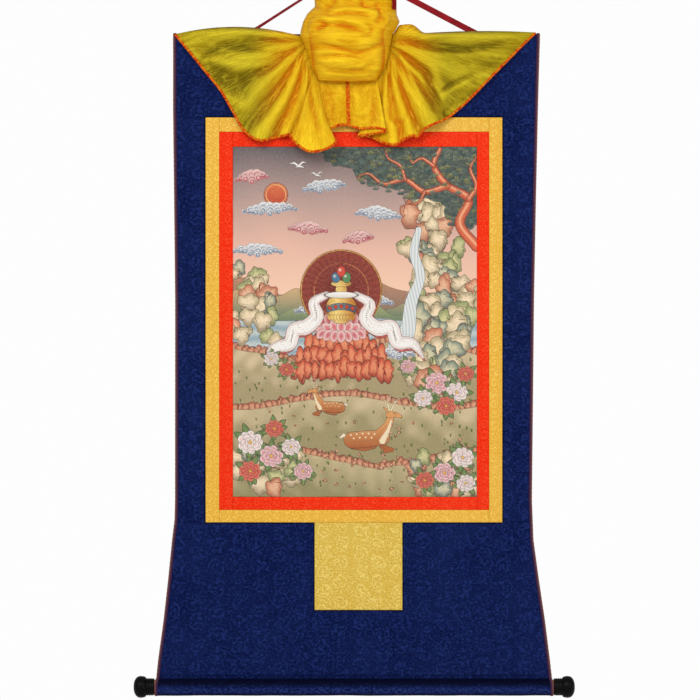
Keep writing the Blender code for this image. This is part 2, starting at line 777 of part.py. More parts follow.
def add_veil(parts):
    """One sheet: closed rings for the head and the bunch, open rows below, and the slit left open."""
    left, right = veil_columns()
    columns = np.concatenate([left, right])
    count, slit = len(columns), len(left) - 1
    neck_shares = np.arange(count) / (count - 1)
    front = bunch_rows(columns, neck_shares)
    back = back_rows()
    tucks = tuck_rows(front[-1], columns[:, 2])
    fan = fan_rows(tucks[-1], columns)
    around = count + BACK_COLUMNS
    rings = head_rows(neck_shares)[::-1]
    rings += [np.concatenate([f, b]) for f, b in zip(front, back)]
    points = np.concatenate([*rings, *tucks, *fan, [[0.0, HEAD_FORWARD, HEAD[-1][0] + HEAD_CROWN]]])
    faces = []
    for ring in range(len(rings) - 1):
        for column in range(around):
            following = (column + 1) % around
            first = ring * around
            lower = first + around
            faces.append((first + column, lower + column, lower + following, first + following))
    top = len(points) - 1
    faces.extend((top, column, (column + 1) % around) for column in range(around))
    starts = [(len(rings) - 1) * around]
    starts += [len(rings) * around + count * row for row in range(len(tucks) + len(fan))]
    for row, (first, lower) in enumerate(zip(starts[:-1], starts[1:])):
        for column in range(count - 1):
            if column == slit:
                continue
            faces.append((first + column, lower + column, lower + column + 1, first + column + 1))
    piece = add_object(parts, "veil", row_points(points[:, 0], points[:, 1], points[:, 2]), faces, "silk")
    shell = solidify(piece, VEIL_THICK, 0)
    shell.use_even_offset = False
    piece.data.shade_smooth()


def add_tie(parts):
    """A tape nearly once round the bunch's neck and the hanging tape, then down over the bunch."""
    path, normals = [], []
    for step in range(TIE_STEPS + 1):
        turn = radians(TIE_FROM + (TIE_TO - TIE_FROM) * step / TIE_STEPS)
        power = 2 / TIE_SQUARENESS
        across = TIE_HALF[0] * np.sign(cos(turn)) * abs(cos(turn)) ** power
        behind = TIE_HALF[1] * np.sign(sin(turn)) * abs(sin(turn)) ** power
        path.append((across, TIE_FORWARD - behind, TIE_HEIGHT))
        normals.append((cos(turn), -sin(turn), 0))
    for height, share in TAIL:
        spot, normal = belly_and_normal(height, share)
        path.append(spot + normal * TAIL_CLEAR)
        normals.append(normal)
    swept_tape(parts, "veil_tie", path, normals, TIE_WIDTH, TIE_THICK, "ribbon")


def belly_and_normal(height, share):
    """A place on the bunch and the way its cloth faces there, from small steps along the surface."""

    def place(at_height, at_share):
        across, forward = belly(at_height, at_share)
        return np.array([float(across), float(forward), at_height])

    spot = place(height, share)
    normal = np.cross(place(height, share + 0.01) - spot, place(height - 1, share) - spot)
    normal /= np.linalg.norm(normal)
    return spot, normal if normal[1] > 0 else -normal


def build():
    parts = start_scene()
    add_panels(parts)
    add_skirt(parts)
    add_picture(parts)
    add_bindings(parts)
    add_roller(parts)
    add_hanging_tape(parts)
    add_veil(parts)
    add_tie(parts)


build()
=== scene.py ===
from math import pi, radians

import bpy
import numpy as np
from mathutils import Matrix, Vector


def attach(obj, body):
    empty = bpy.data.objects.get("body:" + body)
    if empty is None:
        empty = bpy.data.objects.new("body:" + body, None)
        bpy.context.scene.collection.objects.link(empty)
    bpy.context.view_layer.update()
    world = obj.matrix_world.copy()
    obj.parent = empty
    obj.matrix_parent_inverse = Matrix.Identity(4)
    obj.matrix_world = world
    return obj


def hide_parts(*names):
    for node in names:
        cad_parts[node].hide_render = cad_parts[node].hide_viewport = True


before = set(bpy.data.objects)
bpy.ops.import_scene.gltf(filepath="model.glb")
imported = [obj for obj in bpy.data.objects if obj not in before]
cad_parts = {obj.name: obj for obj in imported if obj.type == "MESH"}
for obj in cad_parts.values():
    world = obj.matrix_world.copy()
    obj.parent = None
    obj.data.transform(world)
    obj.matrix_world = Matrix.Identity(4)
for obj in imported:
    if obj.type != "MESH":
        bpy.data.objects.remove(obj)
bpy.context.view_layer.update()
print("frame loaded:", len(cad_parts), "nodes")

# Sizes are millimetres across, forward of the mount's face (towards the viewer, who looks along +Y) and up.
# The frame's origin is the top of the hanging loop, which lies behind that face.
mm = 0.001
loopBehind = 5.5
viewer = np.array([0.0, 1.0, 0.0])  # the way to the viewer, as (across, forward, height)


def toFrame(across, forward, height):
    # millimetres to points of the frame, in metres
    across, forward, height = np.broadcast_arrays(across, forward, height)
    return np.stack([across, -(loopBehind + forward), height], axis=-1) * mm


def placed(points):
    # the same for rows of (across, forward, height)
    return toFrame(*np.moveaxis(points, -1, 0))


def pattern(across, along):
    # the coordinates in which a piece's pattern is drawn, in metres
    return np.stack(np.broadcast_arrays(across, along), axis=-1) * mm


def meshPiece(name, points, faces, uv=None, finish=None):
    # points in metres, faces as rows of point numbers, and one uv for each point
    mesh = bpy.data.meshes.new(name)
    mesh.from_pydata(points.reshape(-1, 3).tolist(), [], faces)
    if uv is not None:
        corners = np.empty(len(mesh.loops), np.int32)
        mesh.loops.foreach_get("vertex_index", corners)
        layer = mesh.uv_layers.new(name="cloth")
        layer.data.foreach_set("uv", uv.reshape(-1, 2)[corners].astype(np.float32).ravel())
    mesh.shade_smooth()
    mesh.materials.append(finish)
    piece = bpy.data.objects.new(name, mesh)
    bpy.context.scene.collection.objects.link(piece)
    return piece


def quadsOf(index):
    # the corners of every cell of a grid of point numbers, down its left side and up its right one
    return np.stack([index[:-1, :-1], index[1:, :-1], index[1:, 1:], index[:-1, 1:]], axis=-1)


def closedRows(index):
    # a grid whose rows are rings: its first column comes again after its last
    return np.concatenate([index, index[:, :1]], axis=1)


def gridFaces(rows, columns, keep=None):
    # quads between neighbours of a grid stored row by row, facing the viewer where rows run down it
    quads = quadsOf(np.arange(rows * columns).reshape(rows, columns))
    return (quads.reshape(-1, 4) if keep is None else quads[keep]).tolist()


def sweptFaces(count, around):
    # quads round a closed section carried along a path, and a cap at each end
    index = np.arange(count * around).reshape(count, around)
    quads = quadsOf(closedRows(index))[..., [0, 3, 2, 1]]
    return quads.reshape(-1, 4).tolist() + [index[0][::-1].tolist(), index[-1].tolist()]


def tintPoints(piece, name, values):
    # a number or a colour for every point, which the piece's finish reads by its name
    kind, field = ("FLOAT", "value") if values.ndim == 1 else ("FLOAT_COLOR", "color")
    layer = piece.data.attributes.new(name, kind, "POINT")
    layer.data.foreach_set(field, values.astype(np.float32).ravel())


def thicken(piece, thick):
    # the cloth's thickness, taken from behind the face that shows
    shell = piece.modifiers.new("cloth", "SOLIDIFY")
    shell.thickness = thick * mm
    shell.offset = -1
    shell.use_quality_normals = True


def settle(piece, nodes=(), body="root"):
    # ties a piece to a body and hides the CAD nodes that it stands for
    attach(piece, body)
    if nodes:
        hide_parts(*nodes)
    return piece


def lookup(table, column, at):
    # a column of a table at a value of its first column, straight between rows
    rows = np.array(sorted(table), float)
    return np.interp(at, rows[:, 0], rows[:, column])


def smoothRows(table, steps):
    # Catmull-Rom: a curve through every row, with steps places from one row to the next
    rows = np.array(table, float)
    padded = np.concatenate([2 * rows[:1] - rows[1:2], rows, 2 * rows[-1:] - rows[-2:-1]])
    before, here, there, after = (padded[i:len(padded) - 3 + i, None] for i in range(4))
    t = (np.arange(steps) / steps)[None, :, None]
    made = 0.5 * (2 * here + (there - before) * t + (2 * before - 5 * here + 4 * there - after) * t**2
                  + (3 * here - before - 3 * there + after) * t**3)
    return np.concatenate([made.reshape(-1, rows.shape[1]), rows[-1:]])


def softNoise(seed, pitch, count, *places):
    # smooth uneven field: the mean of sine waves in random directions, of about one pitch
    random = np.random.default_rng(seed)
    total = 0
    for _ in range(count):
        turn = random.normal(size=len(places))
        turn = turn / np.linalg.norm(turn) * 2 * pi / (pitch * random.uniform(0.7, 1.5))
        total = total + np.sin(sum(k * p for k, p in zip(turn, places)) + random.uniform(0, 2 * pi))
    return total / np.sqrt(count)
def stepLengths(points):
    # the length of each step of a path
    return np.linalg.norm(np.diff(np.array(points, float), axis=0), axis=1)


def farAlong(points):
    # the distance of each point of a path from its start
    return np.concatenate([[0], np.cumsum(stepLengths(points))])


def unit(rows):
    # each row as a direction, its length 1
    return rows / np.linalg.norm(rows, axis=-1, keepdims=True)

def paint(red, green, blue):
    # an 8-bit display colour as a linear one
    shown = np.array([red, green, blue]) / 255
    linear = np.where(shown <= 0.04045, shown / 12.92, ((shown + 0.055) / 1.055) ** 2.4)
    return (*linear.tolist(), 1.0)


def startFinish(name, **sockets):
    # a material whose shader has these sockets set, with _ for the space in a socket's name
    made = bpy.data.materials.new(name)
    made.use_nodes = True
    shader = made.node_tree.nodes["Principled BSDF"]
    for socket, value in sockets.items():
        shader.inputs[socket.replace("_", " ")].default_value = value
    return made, made.node_tree, shader


def node(tree, kind, inputs=None, **settings):
    # a shader node with these settings, each input linked to a socket or set to a value
    made = tree.nodes.new(kind)
    for setting, value in settings.items():
        setattr(made, setting, value)
    for key, value in (inputs or {}).items():
        if isinstance(value, bpy.types.NodeSocket):
            tree.links.new(value, made.inputs[key])
        else:
            made.inputs[key].default_value = value
    return made


def calc(tree, operation, *values):
    # one step of arithmetic on sockets and numbers
    return node(tree, "ShaderNodeMath", dict(enumerate(values)), operation=operation).outputs[0]


def blendColour(tree, share, first, second):
    # first + share x (second - first)
    return node(tree, "ShaderNodeMix", {0: share, 6: first, 7: second}, data_type="RGBA").outputs[2]


def ramp(tree, value, low, high, toLow=0.0, toHigh=1.0):
    # eases a value that goes from low to high into one that goes from toLow to toHigh
    made = node(tree, "ShaderNodeMapRange", {0: value, 1: low, 2: high, 3: toLow, 4: toHigh},
                interpolation_type="SMOOTHSTEP")
    return made.outputs[0]


def noise(tree, vector, pitch, detail=2.0, rough=0.5):
    # soft noise from 0 to 1, about a pitch in millimetres from crest to crest
    made = node(tree, "ShaderNodeTexNoise",
                {"Vector": vector, "Scale": 1 / (pitch * mm), "Detail": detail, "Roughness": rough})
    return made.outputs["Fac"]


def waves(tree, vector, pace, distortion, way):
    # ribs from 0 to 1 across a direction: the higher the pace, the finer they are
    made = node(tree, "ShaderNodeTexWave", {"Vector": vector, "Scale": pace / mm, "Distortion": distortion},
                bands_direction=way)
    return made.outputs["Fac"]


def stretched(tree, vector, across, down):
    # coordinates scaled: a small number draws a pattern out that way
    return node(tree, "ShaderNodeMapping", {"Vector": vector, "Scale": (across, down, 1)}).outputs[0]


def clothPattern(tree):
    # the piece's own pattern coordinates
    return node(tree, "ShaderNodeUVMap", uv_map="cloth").outputs[0]


def objectPlace(tree):
    # the place itself, in metres of the frame
    return node(tree, "ShaderNodeTexCoord").outputs["Object"]


def axes(tree, vector):
    # its three numbers, each on its own
    return node(tree, "ShaderNodeSeparateXYZ", {0: vector}).outputs


def dress(tree, shader, tone, height, depth, strength=1.0):
    # gives a finish its colour, and its relief raised this deep
    tree.links.new(tone, shader.inputs["Base Color"])
    relief = node(tree, "ShaderNodeBump", {"Height": height, "Distance": depth * mm, "Strength": strength})
    tree.links.new(relief.outputs[0], shader.inputs["Normal"])


def scrollFigure(tree, vector, cell, turns, wobble):
    # half-drop repeat: in every cell a spiral line curls out to its rim, mirrored in every other column,
    # and small lobes fill the ground between
    drift = node(tree, "ShaderNodeTexNoise", {"Vector": vector, "Scale": 2 / (cell * mm), "Detail": 1.0})
    moved = node(tree, "ShaderNodeVectorMath", {0: drift.outputs["Color"], 1: (0.5, 0.5, 0.5)},
                 operation="SUBTRACT").outputs[0]
    moved = node(tree, "ShaderNodeVectorMath", {0: moved, "Scale": wobble * cell * mm},
                 operation="SCALE").outputs[0]
    moved = node(tree, "ShaderNodeVectorMath", {0: vector, 1: moved}, operation="ADD").outputs[0]
    parts = axes(tree, moved)
    across = calc(tree, "DIVIDE", parts[0], cell * mm)
    column = calc(tree, "FLOOR", across)
    down = calc(tree, "MULTIPLY_ADD", column, 0.5, calc(tree, "DIVIDE", parts[1], cell * 1.1 * mm))
    mirror = calc(tree, "MULTIPLY_ADD", calc(tree, "FLOORED_MODULO", column, 2.0), -2.0, 1.0)
    x = calc(tree, "MULTIPLY", calc(tree, "SUBTRACT", calc(tree, "FRACT", across), 0.5), mirror)
    y = calc(tree, "SUBTRACT", calc(tree, "FRACT", down), 0.5)
    reach = calc(tree, "SQRT", calc(tree, "ADD", calc(tree, "MULTIPLY", x, x), calc(tree, "MULTIPLY", y, y)))
    angle = calc(tree, "DIVIDE", calc(tree, "ARCTAN2", y, x), 2 * pi)
    curl = calc(tree, "PINGPONG", calc(tree, "MULTIPLY_ADD", reach, turns, angle), 0.5)
    curl = ramp(tree, curl, 0.18, 0.30)
    inside = ramp(tree, reach, 0.46, 0.40)
    lobes = node(tree, "ShaderNodeTexVoronoi", {"Vector": moved, "Scale": 5.5 / (cell * mm)},
                 feature="F1").outputs["Distance"]
    lobes = ramp(tree, lobes, 0.42, 0.30)
    lobes = calc(tree, "MULTIPLY", lobes, calc(tree, "SUBTRACT", 1.0, inside))
    return calc(tree, "MAXIMUM", calc(tree, "MULTIPLY", curl, inside), lobes)


def seamShadeMask(tree):
    # how near a place is to the outline of a box sewn into the navy cloth, the mask of a painted shade
    # beside
    # the raised border and door: 0.85 at its seam, 0 a little away
    spot = axes(tree, objectPlace(tree))
    gold, door = mount["gold"], mount["door"]
    lines = 0.0
    for left, right, low, top in ((gold["left"], gold["right"], gold["bottom"], gold["top"]),
                                  (door["left"], door["right"], door["bottom"], gold["bottom"])):
        sides = []
        for place, first, last in ((spot[0], left, right), (spot[2], low, top)):
            far = calc(tree, "ABSOLUTE", calc(tree, "SUBTRACT", place, (first + last) / 2 * mm))
            sides.append(calc(tree, "SUBTRACT", far, (last - first) / 2 * mm))
        far = calc(tree, "ABSOLUTE", calc(tree, "MAXIMUM", *sides))
        lines = calc(tree, "MAXIMUM", lines, ramp(tree, far, 2.4 * mm, 0.8 * mm, 0.0, 0.85))
    return lines


def brocadeFinish(name, recipe):
    # the ground with its lighter figure, then dark threads, faded specks and worn patches; painted shade and
    # a painted highlight in level strips across the cloth, and in the navy a painted shade beside its seams
    made, tree, shader = startFinish(name, Roughness=recipe["rough"], Specular_IOR_Level=recipe["gloss"])
    cloth = clothPattern(tree)
    figure = scrollFigure(tree, cloth, recipe["cell"], recipe["turns"], recipe["wobble"])
    threads = noise(tree, stretched(tree, cloth, 0.35, 1.0), 0.7, 1.0)
    mottle = noise(tree, stretched(tree, cloth, 0.8, 1.0), recipe["grain"], 2.0, 0.7)
    shown = ramp(tree, mottle, 0.36, 0.62)
    light = calc(tree, "MULTIPLY", figure, calc(tree, "MULTIPLY_ADD", shown, 0.7, 0.3))
    tone = blendColour(tree, light, paint(*recipe["ground"]), paint(*recipe["figure"]))
    dark = ramp(tree, mottle, 0.50, 0.30, 0.0, recipe["dark"])
    tone = blendColour(tree, dark, tone, paint(*recipe["deep"]))
    wear = ramp(tree, noise(tree, cloth, 90, 2.0), 0.35, 0.75, 0.0, 0.14)
    specks = ramp(tree, mottle, 0.52, 0.72, 0.0, 0.55)
    tone = blendColour(tree, calc(tree, "MAXIMUM", wear, specks), tone, paint(*recipe["faded"]))
    down = calc(tree, "MULTIPLY", axes(tree, cloth)[1], -1 / mm)
    for place, reach, share, patchy, colour in recipe.get("paintedLightBands", ()):
        # painted shade in a level strip across the cloth, for the crease over the roller and the roll's
        # underside, and a patchy painted highlight on the roll's face
        far = calc(tree, "ABSOLUTE", calc(tree, "SUBTRACT", down, place))
        band = ramp(tree, far, reach, 0.25 * reach, 0.0, share)
        if patchy:
            band = calc(tree, "MULTIPLY", band, ramp(tree, mottle, 0.42, 0.60))
        tone = blendColour(tree, band, tone, paint(*colour))
    # a painted shade on the navy beside the seams of the raised gold border and door panel
    if "seamShade" in recipe:
        tone = blendColour(tree, seamShadeMask(tree), tone, paint(*recipe["seamShade"]))
    tree.links.new(calc(tree, "MULTIPLY_ADD", light, -0.16, recipe["rough"]), shader.inputs["Roughness"])
    height = calc(tree, "ADD", calc(tree, "MULTIPLY", light, 0.6), calc(tree, "MULTIPLY", threads, 0.5))
    dress(tree, shader, tone, height, recipe["relief"])
    return made


# colours in 8 bits; cell is the figure's repeat and grain the pitch of the threads' mottle, in millimetres;
# the navy's seamShade is the colour of a painted shade beside its seams
brocades = {
    "navy": {"ground": (8, 22, 70), "figure": (22, 39, 97), "deep": (1, 8, 47), "faded": (37, 54, 114),
             "cell": 27, "turns": 3.6, "wobble": 0.9, "grain": 2.9, "dark": 1.0, "rough": 0.75,
             "gloss": 0.05, "relief": 0.35, "seamShade": (2, 5, 28)},
    "gold": {"ground": (234, 178, 58), "figure": (252, 208, 96), "deep": (206, 138, 28),
             "faded": (248, 208, 108), "cell": 13, "turns": 3.2, "wobble": 0.7, "grain": 1.6, "dark": 0.9,
             "rough": 0.6, "gloss": 0.12, "relief": 0.3},
    "red": {"ground": (242, 46, 14), "figure": (252, 76, 40), "deep": (214, 22, 8), "faded": (248, 80, 46),
            "cell": 13, "turns": 3.2, "wobble": 0.7, "grain": 1.6, "dark": 0.9, "rough": 0.7,
            "gloss": 0.04, "relief": 0.25},
    "door": {"ground": (220, 184, 74), "figure": (244, 216, 116), "deep": (186, 142, 38),
             "faded": (234, 206, 108), "cell": 24, "turns": 4.0, "wobble": 0.8, "grain": 1.9, "dark": 1.0,
             "rough": 0.55, "gloss": 0.15, "relief": 0.35},
}


def bindingFinish():
    # a narrow bias strip: diagonal ribs, lighter and browner along the mount's edge
    made, tree, shader = startFinish("bindingCloth", Roughness=0.85, Specular_IOR_Level=0.1)
    cloth = clothPattern(tree)
    ribs = waves(tree, cloth, 0.25, 1.5, "DIAGONAL")
    patches = ramp(tree, noise(tree, cloth, 9, 3.0), 0.35, 0.7)
    outer = blendColour(tree, patches, paint(134, 78, 56), paint(116, 84, 88))
    inward = ramp(tree, axes(tree, cloth)[0], 1.3 * mm, 2.6 * mm)
    tone = blendColour(tree, inward, outer, paint(66, 40, 72))
    tone = blendColour(tree, calc(tree, "MULTIPLY", ribs, 0.4), tone, paint(52, 26, 40))
    dress(tree, shader, tone, ribs, 0.15)
    return made


def silkFinish():
    # thin satin: a painted amber shade in the hollows of its folds and a painted pale highlight on their
    # crests, olive where it lies flat and the dark mount is seen through it; its pattern runs across and
    # along the folds
    made, tree, shader = startFinish("veilSilk", Roughness=0.27, Specular_IOR_Level=0.6, Anisotropic=0.3)
    shader.inputs["Specular Tint"].default_value = paint(255, 226, 60)
    cloth = clothPattern(tree)
    folds = node(tree, "ShaderNodeAttribute", attribute_name="folds").outputs
    kind = node(tree, "ShaderNodeSeparateColor", {0: folds["Color"]}).outputs
    flat = kind["Green"]
    flow = noise(tree, stretched(tree, cloth, 1.0, 0.3), 22, 4.0, 0.6)
    body = blendColour(tree, flat, paint(216, 150, 4), paint(142, 118, 8))
    pale = blendColour(tree, flat, paint(250, 204, 34), paint(206, 186, 40))
    deep = blendColour(tree, flat, paint(206, 92, 0), paint(66, 48, 0))
    tone = blendColour(tree, ramp(tree, flow, 0.34, 0.68, 0.0, 0.45), body, pale)
    # blue marks a painted highlight on the crests, red a painted shade in the hollows, in the tuck and in
    # the listed shadows
    tone = blendColour(tree, kind["Blue"], tone, pale)
    tone = blendColour(tree, kind["Red"], tone, deep)
    # creases too fine for the mesh: where smooth fields drawn out along the folds pass a middle value;
    # painted shade lines in the troughs and painted highlights along the ridges
    lines = 0.0
    for pitch, along, share in ((12, 0.16, 0.5), (6, 0.22, 0.45)):
        field = noise(tree, stretched(tree, cloth, 1.0, along), pitch, 0.0, 0.4)
        valley, ridge = (calc(tree, "ABSOLUTE", calc(tree, "SUBTRACT", field, at)) for at in (0.47, 0.57))
        lines = calc(tree, "MAXIMUM", lines, ramp(tree, valley, 0.07, 0.0, 0.0, share))
        tone = blendColour(tree, ramp(tree, ridge, 0.06, 0.0, 0.0, 0.5 * share), tone, pale)
    tone = blendColour(tree, calc(tree, "MULTIPLY", lines, 0.3), tone, deep)
    threads = noise(tree, stretched(tree, cloth, 1.0, 0.08), 0.35, 1.0)
    tone = blendColour(tree, ramp(tree, threads, 0.4, 0.62, 0.0, 0.08), tone, paint(255, 232, 70))
    crinkle = noise(tree, stretched(tree, cloth, 1.0, 0.35), 8, 4.0, 0.6)
    height = calc(tree, "MULTIPLY_ADD", threads, 0.06, crinkle)
    dress(tree, shader, tone, calc(tree, "MULTIPLY_ADD", lines, -0.35, height), 1.8, 0.9)
    return made


def threadFinish():
    # overlock stitches: bright orange-red threads across the edge, paler and darker in patches, with painted
    # yellow glints and a few darker specks
    made, tree, shader = startFinish("overlockThread", Roughness=0.6, Specular_IOR_Level=0.1)
    cloth = clothPattern(tree)
    wraps = waves(tree, cloth, 0.32, 0.6, "X")
    patches = noise(tree, stretched(tree, cloth, 1.0, 0.2), 7, 3.0)
    tone = blendColour(tree, ramp(tree, patches, 0.40, 0.66), paint(236, 74, 6), paint(252, 146, 12))
    tone = blendColour(tree, ramp(tree, patches, 0.40, 0.28), tone, paint(210, 28, 16))
    glints = noise(tree, cloth, 2.4, 1.0)
    tone = blendColour(tree, ramp(tree, glints, 0.58, 0.66), tone, paint(226, 190, 40))
    tone = blendColour(tree, ramp(tree, glints, 0.42, 0.34), tone, paint(196, 34, 10))
    tone = blendColour(tree, calc(tree, "MULTIPLY", wraps, 0.3), tone, paint(150, 28, 8))
    dress(tree, shader, tone, wraps, 0.3)
    return made


def tapeFinish():
    # woven tape: fine ribs across it, and soft patches
    made, tree, shader = startFinish("redTape", Roughness=0.6, Specular_IOR_Level=0.15)
    cloth = clothPattern(tree)
    ribs = waves(tree, cloth, 0.4, 0.4, "Y")
    patches = ramp(tree, noise(tree, cloth, 14, 3.0), 0.35, 0.7)
    tone = blendColour(tree, patches, paint(136, 6, 20), paint(160, 16, 28))
    tone = blendColour(tree, calc(tree, "MULTIPLY", ribs, 0.3), tone, paint(96, 2, 12))
    dress(tree, shader, tone, ribs, 0.12)
    return made


def knobFinish():
    # black turned and lacquered wood: faint rings, soft scuffs in the gloss
    made, tree, shader = startFinish("knobLacquer", Roughness=0.36, Specular_IOR_Level=0.08)
    spot = objectPlace(tree)
    scuffs = noise(tree, spot, 6, 5.0, 0.65)
    tone = blendColour(tree, ramp(tree, scuffs, 0.4, 0.75), paint(8, 8, 8), paint(16, 15, 15))
    tree.links.new(ramp(tree, scuffs, 0.3, 0.8, 0.26, 0.46), shader.inputs["Roughness"])
    rings = waves(tree, spot, 0.25, 0.3, "X")
    dress(tree, shader, tone, calc(tree, "ADD", rings, scuffs), 0.04)
    return made


def woodFinish():
    # plain rod of pale wood, its grain along X
    made, tree, shader = startFinish("rodWood", Roughness=0.6)
    grain = noise(tree, stretched(tree, objectPlace(tree), 0.06, 1), 1.5, 4.0)
    tone = blendColour(tree, ramp(tree, grain, 0.3, 0.7), paint(150, 104, 62), paint(202, 160, 108))
    dress(tree, shader, tone, grain, 0.1)
    return made

mount = {
    # height, left, right: the outer edges, bindings included, down to the sleeve's ends
    "edges": [(-99, -234.4, 249.0), (-200, -234.4, 246.3), (-319, -233.1, 243.6), (-450, -231.8, 241.0),
              (-714, -231.8, 238.4), (-740, -232.5, 239.4), (-766, -235.7, 240.4), (-819, -241.0, 247.6),
              (-872, -246.9, 255.5), (-925, -254.2, 262.1), (-948, -256.6, 264.7), (-955, -258.8, 266.7)],
    "binding": 4.5,
    "gap": 0.06,
    # pitch across, pitch down, start, rise of the slow waves in which it hangs
    "waves": [(310, 900, 0.3, 0.9), (190, -640, 2.1, 0.6), (130, 420, 4.0, 0.35)],
    "waveTop": -123.4, "waveFoot": -935.6, "waveFade": 60.0,
    "gold": {"left": -191.6, "right": 199.3, "top": -210.0, "bottom": -743.4},
    "goldWidth": {"left": 18.0, "right": 17.5, "top": 19.0, "bottom": 16.5},
    "redWidth": {"left": 18.0, "right": 16.0, "top": 19.7, "bottom": 17.0},
    "door": {"left": -48.0, "right": 67.6, "bottom": -858.7},
    # forward, height of the rolled heading: up its back, over the top and down its front
    "heading": [(-1.9, -121.5), (-2.6, -118), (-3.9, -111), (-3.9, -105), (-2.9, -101), (-1.1, -99.3),
                (0.6, -100.6), (1.7, -104), (2.1, -109.5), (1.7, -115.5), (0.7, -119.3), (0.0, -121.6),
                (0.0, -126), (0.0, -132)],
    "rollHeight": -960.1, "rollForward": -1.65, "rollOut": 11.5, "seam": -947.6, "hemTop": -940.6,
    "joinAbove": 8.0,  # how far above the seam the path round the roller takes over
    "step": 3.6,       # between the points of a sheet
    "edgeRound": 0.6,  # how far its edges turn back
    # where a sheet's edge goes on under its neighbour: how far its two rows lie past the edge, and how deep
    "hidden": (2.4, 0.15), "underDepth": 1.5,
    # how far forward the face of each kind of cloth is, and the cloth's thickness
    "stands": {"navy": (0, 1.0), "gold": (0.8, 1.6), "red": (0.4, 1.3), "door": (0.4, 1.3)},
    "pucker": (0.13, 7.3, 3.0), "doorPucker": 0.2,  # rise, pitch and reach of the puckers beside a seam
}

finishes = {name: brocadeFinish(name + "Brocade", recipe) for name, recipe in brocades.items()}
finishes.update(binding=bindingFinish(), silk=silkFinish(), thread=threadFinish(), tape=tapeFinish(),
                knob=knobFinish(), wood=woodFinish())
print("finishes made:", len(finishes))


def wave(across, height):
    # slow sine waves that fade out towards the heading and the roller
    total = 0
    for pitchAcross, pitchDown, start, rise in mount["waves"]:
        total = total + rise * np.sin(2 * pi * (across / pitchAcross + height / pitchDown) + start)
    fadeTop = np.clip((mount["waveTop"] - height) / mount["waveFade"], 0, 1)
    fadeFoot = np.clip((height - mount["waveFoot"]) / mount["waveFade"], 0, 1)
    return total * fadeTop * fadeFoot


def leftEdge(height):
    # the mount's left edge at a height, from its table
    return lookup(mount["edges"], 1, height)


def rightEdge(height):
    # the mount's right edge at a height, from its table
    return lookup(mount["edges"], 2, height)


def spaced(length, before=False, after=False):
    # places from 0 to a length: one step apart, with two more close to each end for its rounding, and two
    # past an end that goes on under its neighbour
    edge, hidden = mount["edgeRound"], np.array(mount["hidden"])
    even = np.linspace(0, length, max(3, int(round(length / mount["step"])) + 1))[1:-1]
    return np.concatenate([-hidden if before else [], [0, edge * 0.3, edge], even,
                           [length - edge, length - edge * 0.3, length],
                           length + hidden[::-1] if after else []])


def rounded(distance, front, edge):
    # the face's place at a distance in from the sheet's edge: turned back round it, then flat beneath
    inward = np.clip(1 - distance / edge, 0, 1)
    out = front - edge * (1 - np.sqrt(1 - inward**2))
    return np.where(distance < -0.05, front - mount["underDepth"], out)


def walk(path, places):
    # points and outward normals along a (forward, height) path at distances from its start; a place past
    # one of its ends lies straight on from it
    path = np.array(path, float)
    far = farAlong(path)
    spots = np.stack([np.interp(places, far, path[:, i]) for i in (0, 1)], axis=1)
    past = np.minimum(places, 0) + np.maximum(places - far[-1], 0)
    ends = np.where(past[:, None] < 0, path[1] - path[0], path[-1] - path[-2])
    spots = spots + past[:, None] * unit(ends)
    slope = unit(np.gradient(spots, np.maximum.accumulate(places + np.arange(len(places)) * 1e-6), axis=0))
    return spots, np.stack([-slope[:, 1], slope[:, 0]], axis=1)


def pathLength(path):
    # the sum of a path's steps
    return stepLengths(path).sum()


def offPath(spots, normals, across, out):
    # points a distance out of a path's face, moved by the slow waves of the hanging cloth
    forward = spots[:, :1] + normals[:, :1] * out + wave(across, spots[:, 1:])
    return toFrame(across, forward, spots[:, 1:] + normals[:, 1:] * out)


def seamRipple(along, distance, start, side, rise):
    # puckers beside a seam: waves of an uneven pitch that die out away from it
    pitch, reach = mount["pucker"][1:]
    ripple = np.sin(2 * pi * along / pitch + 2.2 * np.sin(along / 23 + start + side) + side)
    return rise * ripple * np.exp(-np.abs(distance) / reach)


def mountSheet(name, nodeName, kind, path, left, right, seed, under="", pucker=mount["pucker"][0]):
    # A sheet whose face follows a path down the cloth between its left and right edges: the path's point,
    # plus the slow wave, a faint unevenness, seam puckers that die out a few millimetres from each edge,
    # and a round turn back at the edges.
    front, thick = mount["stands"][kind]
    edge = mount["edgeRound"]
    length = pathLength(path)
    places = spaced(length, "top" in under, "bottom" in under)
    spots, normals = walk(path, places)
    lefts, rights = left(spots[:, 1:]), right(spots[:, 1:])
    width = float(np.median(rights - lefts))
    shares = spaced(width, "left" in under, "right" in under) / width
    across = lefts + (rights - lefts) * shares
    # close to an edge the points keep their distance from it, also where the sheet is wider
    inLeft, inRight = shares * width, (1 - shares) * width
    nearLeft, nearRight = inLeft <= edge, inRight <= edge
    across[:, nearLeft] = lefts + inLeft[nearLeft]
    across[:, nearRight] = rights - inRight[nearRight]
    down = places[:, None]
    seams = (across - lefts, rights - across, down, length - down)
    out = rounded(np.minimum(np.minimum(*seams[:2]), np.minimum(*seams[2:])), front, edge)
    out = out + 0.12 * softNoise(seed, 55, 6, across, down) + 0.04 * softNoise(seed + 1, 14, 6, across, down)
    for side, distance in enumerate(seams):
        out = out + seamRipple(down if side < 2 else across, distance, seed, side, pucker)
    piece = meshPiece(name, offPath(spots, normals, across, out), gridFaces(*across.shape),
                      pattern(across, -down), finishes[kind])
    thicken(piece, thick)
    settle(piece, [nodeName])


def flatPath(top, bottom):
    # straight down the face between two heights
    return [(0, top), (0, bottom)]


def headedPath(low):
    # over the rolled heading and down the face to a height
    return mount["heading"] + flatPath(mount["heading"][-1][1] - 4, low)


